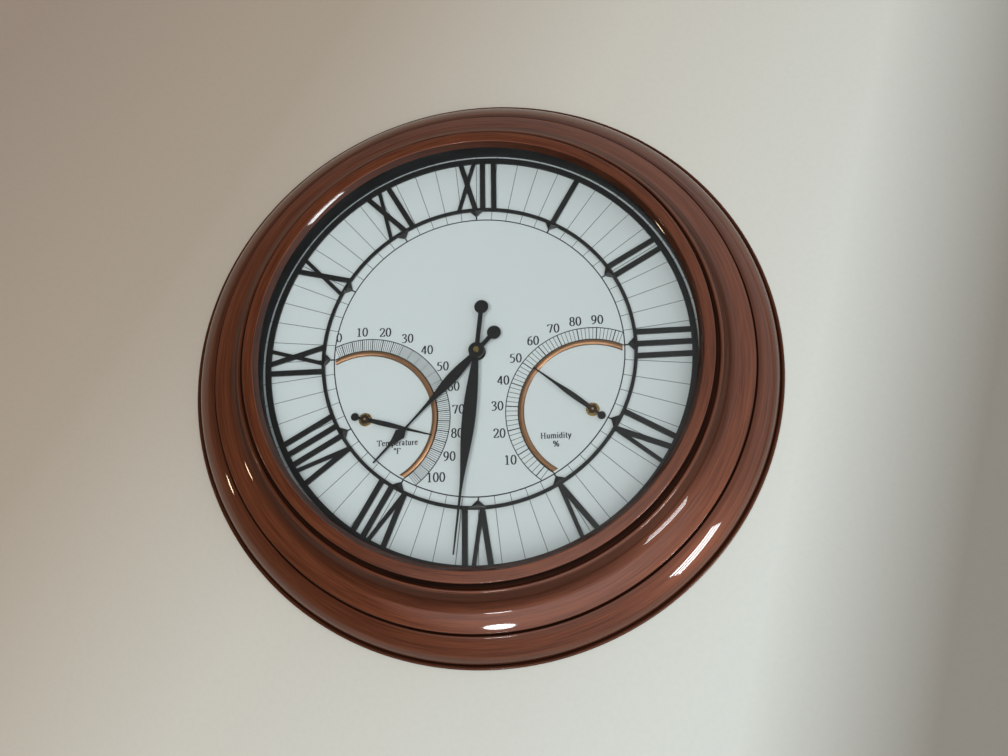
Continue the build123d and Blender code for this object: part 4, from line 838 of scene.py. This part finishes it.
def printed_scale(name, centre, degrees, ticks, bold_every, numbers, words, words_at):
    """Two arcs with ticks between them, numbers around them and the words below."""
    marks = Print()
    inward = math.atan2(-centre[0], -centre[1])
    for radius in (SCALE_INNER, SCALE_OUTER):
        half = opening(centre, radius)
        marks.arc(centre, radius, SCALE_LINE, inward - half, inward + half)
    for reading in ticks:
        turn = turn_of(reading, degrees)
        end = min(SCALE_OUTER, reach(centre, turn))
        if end > SCALE_INNER:
            width = FINE_TICK if reading % bold_every else BOLD_TICK
            marks.line(on_clock(SCALE_INNER, turn, centre), on_clock(end, turn, centre), width)
    marks.piece(name + "_printed_scale", BLACK_INK)
    letters = Print()
    for number in numbers:
        at = on_clock(DIGIT_RADIUS, turn_of(number, degrees), centre)
        at = (at[0], at[1] - DIGIT_HEIGHT / 2)
        write(letters, str(number), at, DIGIT_HEIGHT, DIGIT_STRETCH, DIGIT_PEN_SHARES)
    letters.piece(name + "_printed_numbers", BLACK_INK)
    label = Print()
    for index, word in enumerate(words):
        at = (words_at[0], words_at[1] - index * WORD_DROP)
        write(label, word, at, WORD_HEIGHT, WORD_STRETCH, WORD_PEN_SHARES)
    label.piece(name + "_printed_words", BLACK_INK)


dial_lines()
printed_scale(
    "thermometer", thermometer_at, THERMOMETER_DEGREES, range(-3, 109), 5, range(0, 101, 10),
    ("Temperature", "°F"), THERMOMETER_WORD_AT,
)
printed_scale(
    "hygrometer", hygrometer_at, HYGROMETER_DEGREES, range(-2, 105, 2), 10, range(10, 91, 10),
    ("Humidity", "%"), HYGROMETER_WORD_AT,
)


# Wall, light and camera. The wall's paint carries painted light: dimmer and warmer to the upper left, and a
# painted shadow at the far right.
WALL_AXIS = (0.85, 0.0, -0.53)
WALL_PAINTED_LIGHT_TONES = (
    (-0.55, (0.350, 0.270, 0.210)),
    (-0.28, (0.440, 0.360, 0.280)),
    (-0.05, (0.650, 0.610, 0.530)),
    (0.26, (0.770, 0.790, 0.730)),
)
WALL_PAINTED_SHADOW_AXIS = (1.0, 0.0, -0.30)
WALL_PAINTED_SHADOW_SPAN = (0.255, 0.385)
WALL_PAINTED_SHADOW_TONE = (0.30, 0.27, 0.23)


def wall_look():
    """Pale paint on the front of the wall, with painted light and a painted shadow; from behind the wall lets
    everything through.
    """
    look = Look("wall_paint", roughness=0.85)
    place = look.place()
    grain = look.noise(place, 260.0, 3.0, 0.6)
    low, high = WALL_PAINTED_LIGHT_TONES[0][0], WALL_PAINTED_LIGHT_TONES[-1][0]
    # Painted light: the wall's tone falls off and warms towards the upper left
    tone = look.ramp(look.span(look.along(place, WALL_AXIS), low, high), WALL_PAINTED_LIGHT_TONES)
    # Painted shadow across the far right of the wall
    shade = look.span(look.along(place, WALL_PAINTED_SHADOW_AXIS), *WALL_PAINTED_SHADOW_SPAN)
    paint = look.blend(shade, tone, WALL_PAINTED_SHADOW_TONE)
    light = look.span(grain, 0.3, 0.7, 0.97, 1.0)
    look.feed(look.shader, "Base Color", look.blend(light, (0.0, 0.0, 0.0), paint))
    look.bump(grain, 0.25, WALL_GRAIN)
    clear = look.add("BsdfTransparent")
    side = look.add("NewGeometry").outputs["Backfacing"]
    mix = look.add("MixShader", {0: side, 1: look.shader.outputs[0], 2: clear.outputs[0]})
    output = look.tree.nodes["Material Output"]
    look.tree.links.new(mix.outputs[0], output.inputs["Surface"])
    return look.material


def wall():
    """Wall with an opening behind the clock, so that light reaches the clock's back."""
    points = []
    for radius in (WALL_OPENING, WALL_RADIUS):
        for step in range(WALL_TURNS):
            x, z = on_clock(radius, math.tau * step / WALL_TURNS)
            points.append((x, WALL_GAP, z))
    faces = []
    for step in range(WALL_TURNS):
        after = (step + 1) % WALL_TURNS
        faces.append((step, after, WALL_TURNS + after, WALL_TURNS + step))
    mesh = bpy.data.meshes.new("wall")
    mesh.from_pydata(points, [], faces)
    mesh.materials.append(wall_look())
    piece = bpy.data.objects.new("wall", mesh)
    bpy.context.scene.collection.objects.link(piece)


def softbox(name, shape, direction, distance, size, radiance, colour, reached, shift=0.0):
    """Flat lamp that shows in gloss or lights matt faces."""
    lamp = bpy.data.lights.new(name, "AREA")
    lamp.shape = shape
    lamp.size, lamp.size_y = size
    lamp.energy = radiance * math.pi * size[0] * size[1]
    lamp.color = colour
    holder = bpy.data.objects.new(name, lamp)
    place = Vector(direction).normalized() * distance
    turn = (-place).to_track_quat("-Z", "Y")
    holder.location = place + turn @ Vector((shift, 0.0, 0.0))
    holder.rotation_euler = turn.to_euler()
    holder.visible_diffuse = reached != "gloss"
    holder.visible_glossy = reached != "matt"
    holder.visible_transmission = reached != "matt"
    bpy.context.scene.collection.objects.link(holder)


def soft_world():
    """Soft light all round, paler towards the window and dark at one end."""
    world = bpy.data.worlds.new("soft_world")
    bpy.context.scene.world = world
    world.use_nodes = True
    tree = world.node_tree
    background = tree.nodes["Background"]
    way = tree.nodes.new("ShaderNodeTexCoord")

    def facing(axis, span, low, high):
        """Level that follows how far a direction points along an axis."""
        dot = tree.nodes.new("ShaderNodeVectorMath")
        dot.operation = "DOT_PRODUCT"
        dot.inputs[1].default_value = axis
        tree.links.new(way.outputs["Generated"], dot.inputs[0])
        level = tree.nodes.new("ShaderNodeMapRange")
        level.interpolation_type = "SMOOTHSTEP"
        for socket, value in zip(("From Min", "From Max", "To Min", "To Max"), (*span, low, high)):
            level.inputs[socket].default_value = value
        tree.links.new(dot.outputs["Value"], level.inputs["Value"])
        return level.outputs["Result"]

    mix = tree.nodes.new("ShaderNodeMix")
    mix.data_type = "RGBA"
    mix.inputs[6].default_value = (*WORLD_DIM, 1.0)
    mix.inputs[7].default_value = (*WORLD_BRIGHT, 1.0)
    tree.links.new(facing(WORLD_AXIS, WORLD_SPAN, 0.0, 1.0), mix.inputs[0])
    spot = tree.nodes.new("ShaderNodeMix")
    spot.data_type = "RGBA"
    spot.inputs[7].default_value = (*SPOT, 1.0)
    tree.links.new(facing(SPOT_AXIS, SPOT_SPAN, 0.0, 1.0), spot.inputs[0])
    tree.links.new(mix.outputs[2], spot.inputs[6])
    tree.links.new(spot.outputs[2], background.inputs["Color"])
    tree.links.new(facing(DARK_AXIS, DARK_SPAN, 1.0, DARK_LEVEL), background.inputs["Strength"])


def camera():
    data = bpy.data.cameras.new("camera")
    data.lens = CAMERA_LENS
    data.sensor_width = CAMERA_SENSOR
    holder = bpy.data.objects.new("camera", data)
    holder.location = CAMERA_PLACE
    holder.rotation_euler = [math.radians(turn) for turn in CAMERA_TURN]
    bpy.context.scene.collection.objects.link(holder)
    bpy.context.scene.camera = holder


wall()
for settings in LAMPS:
    softbox(*settings)
for shift in WINDOW_PANES:
    softbox(*WINDOW, shift)
soft_world()
camera()
bpy.context.scene.view_settings.view_transform = "Standard"
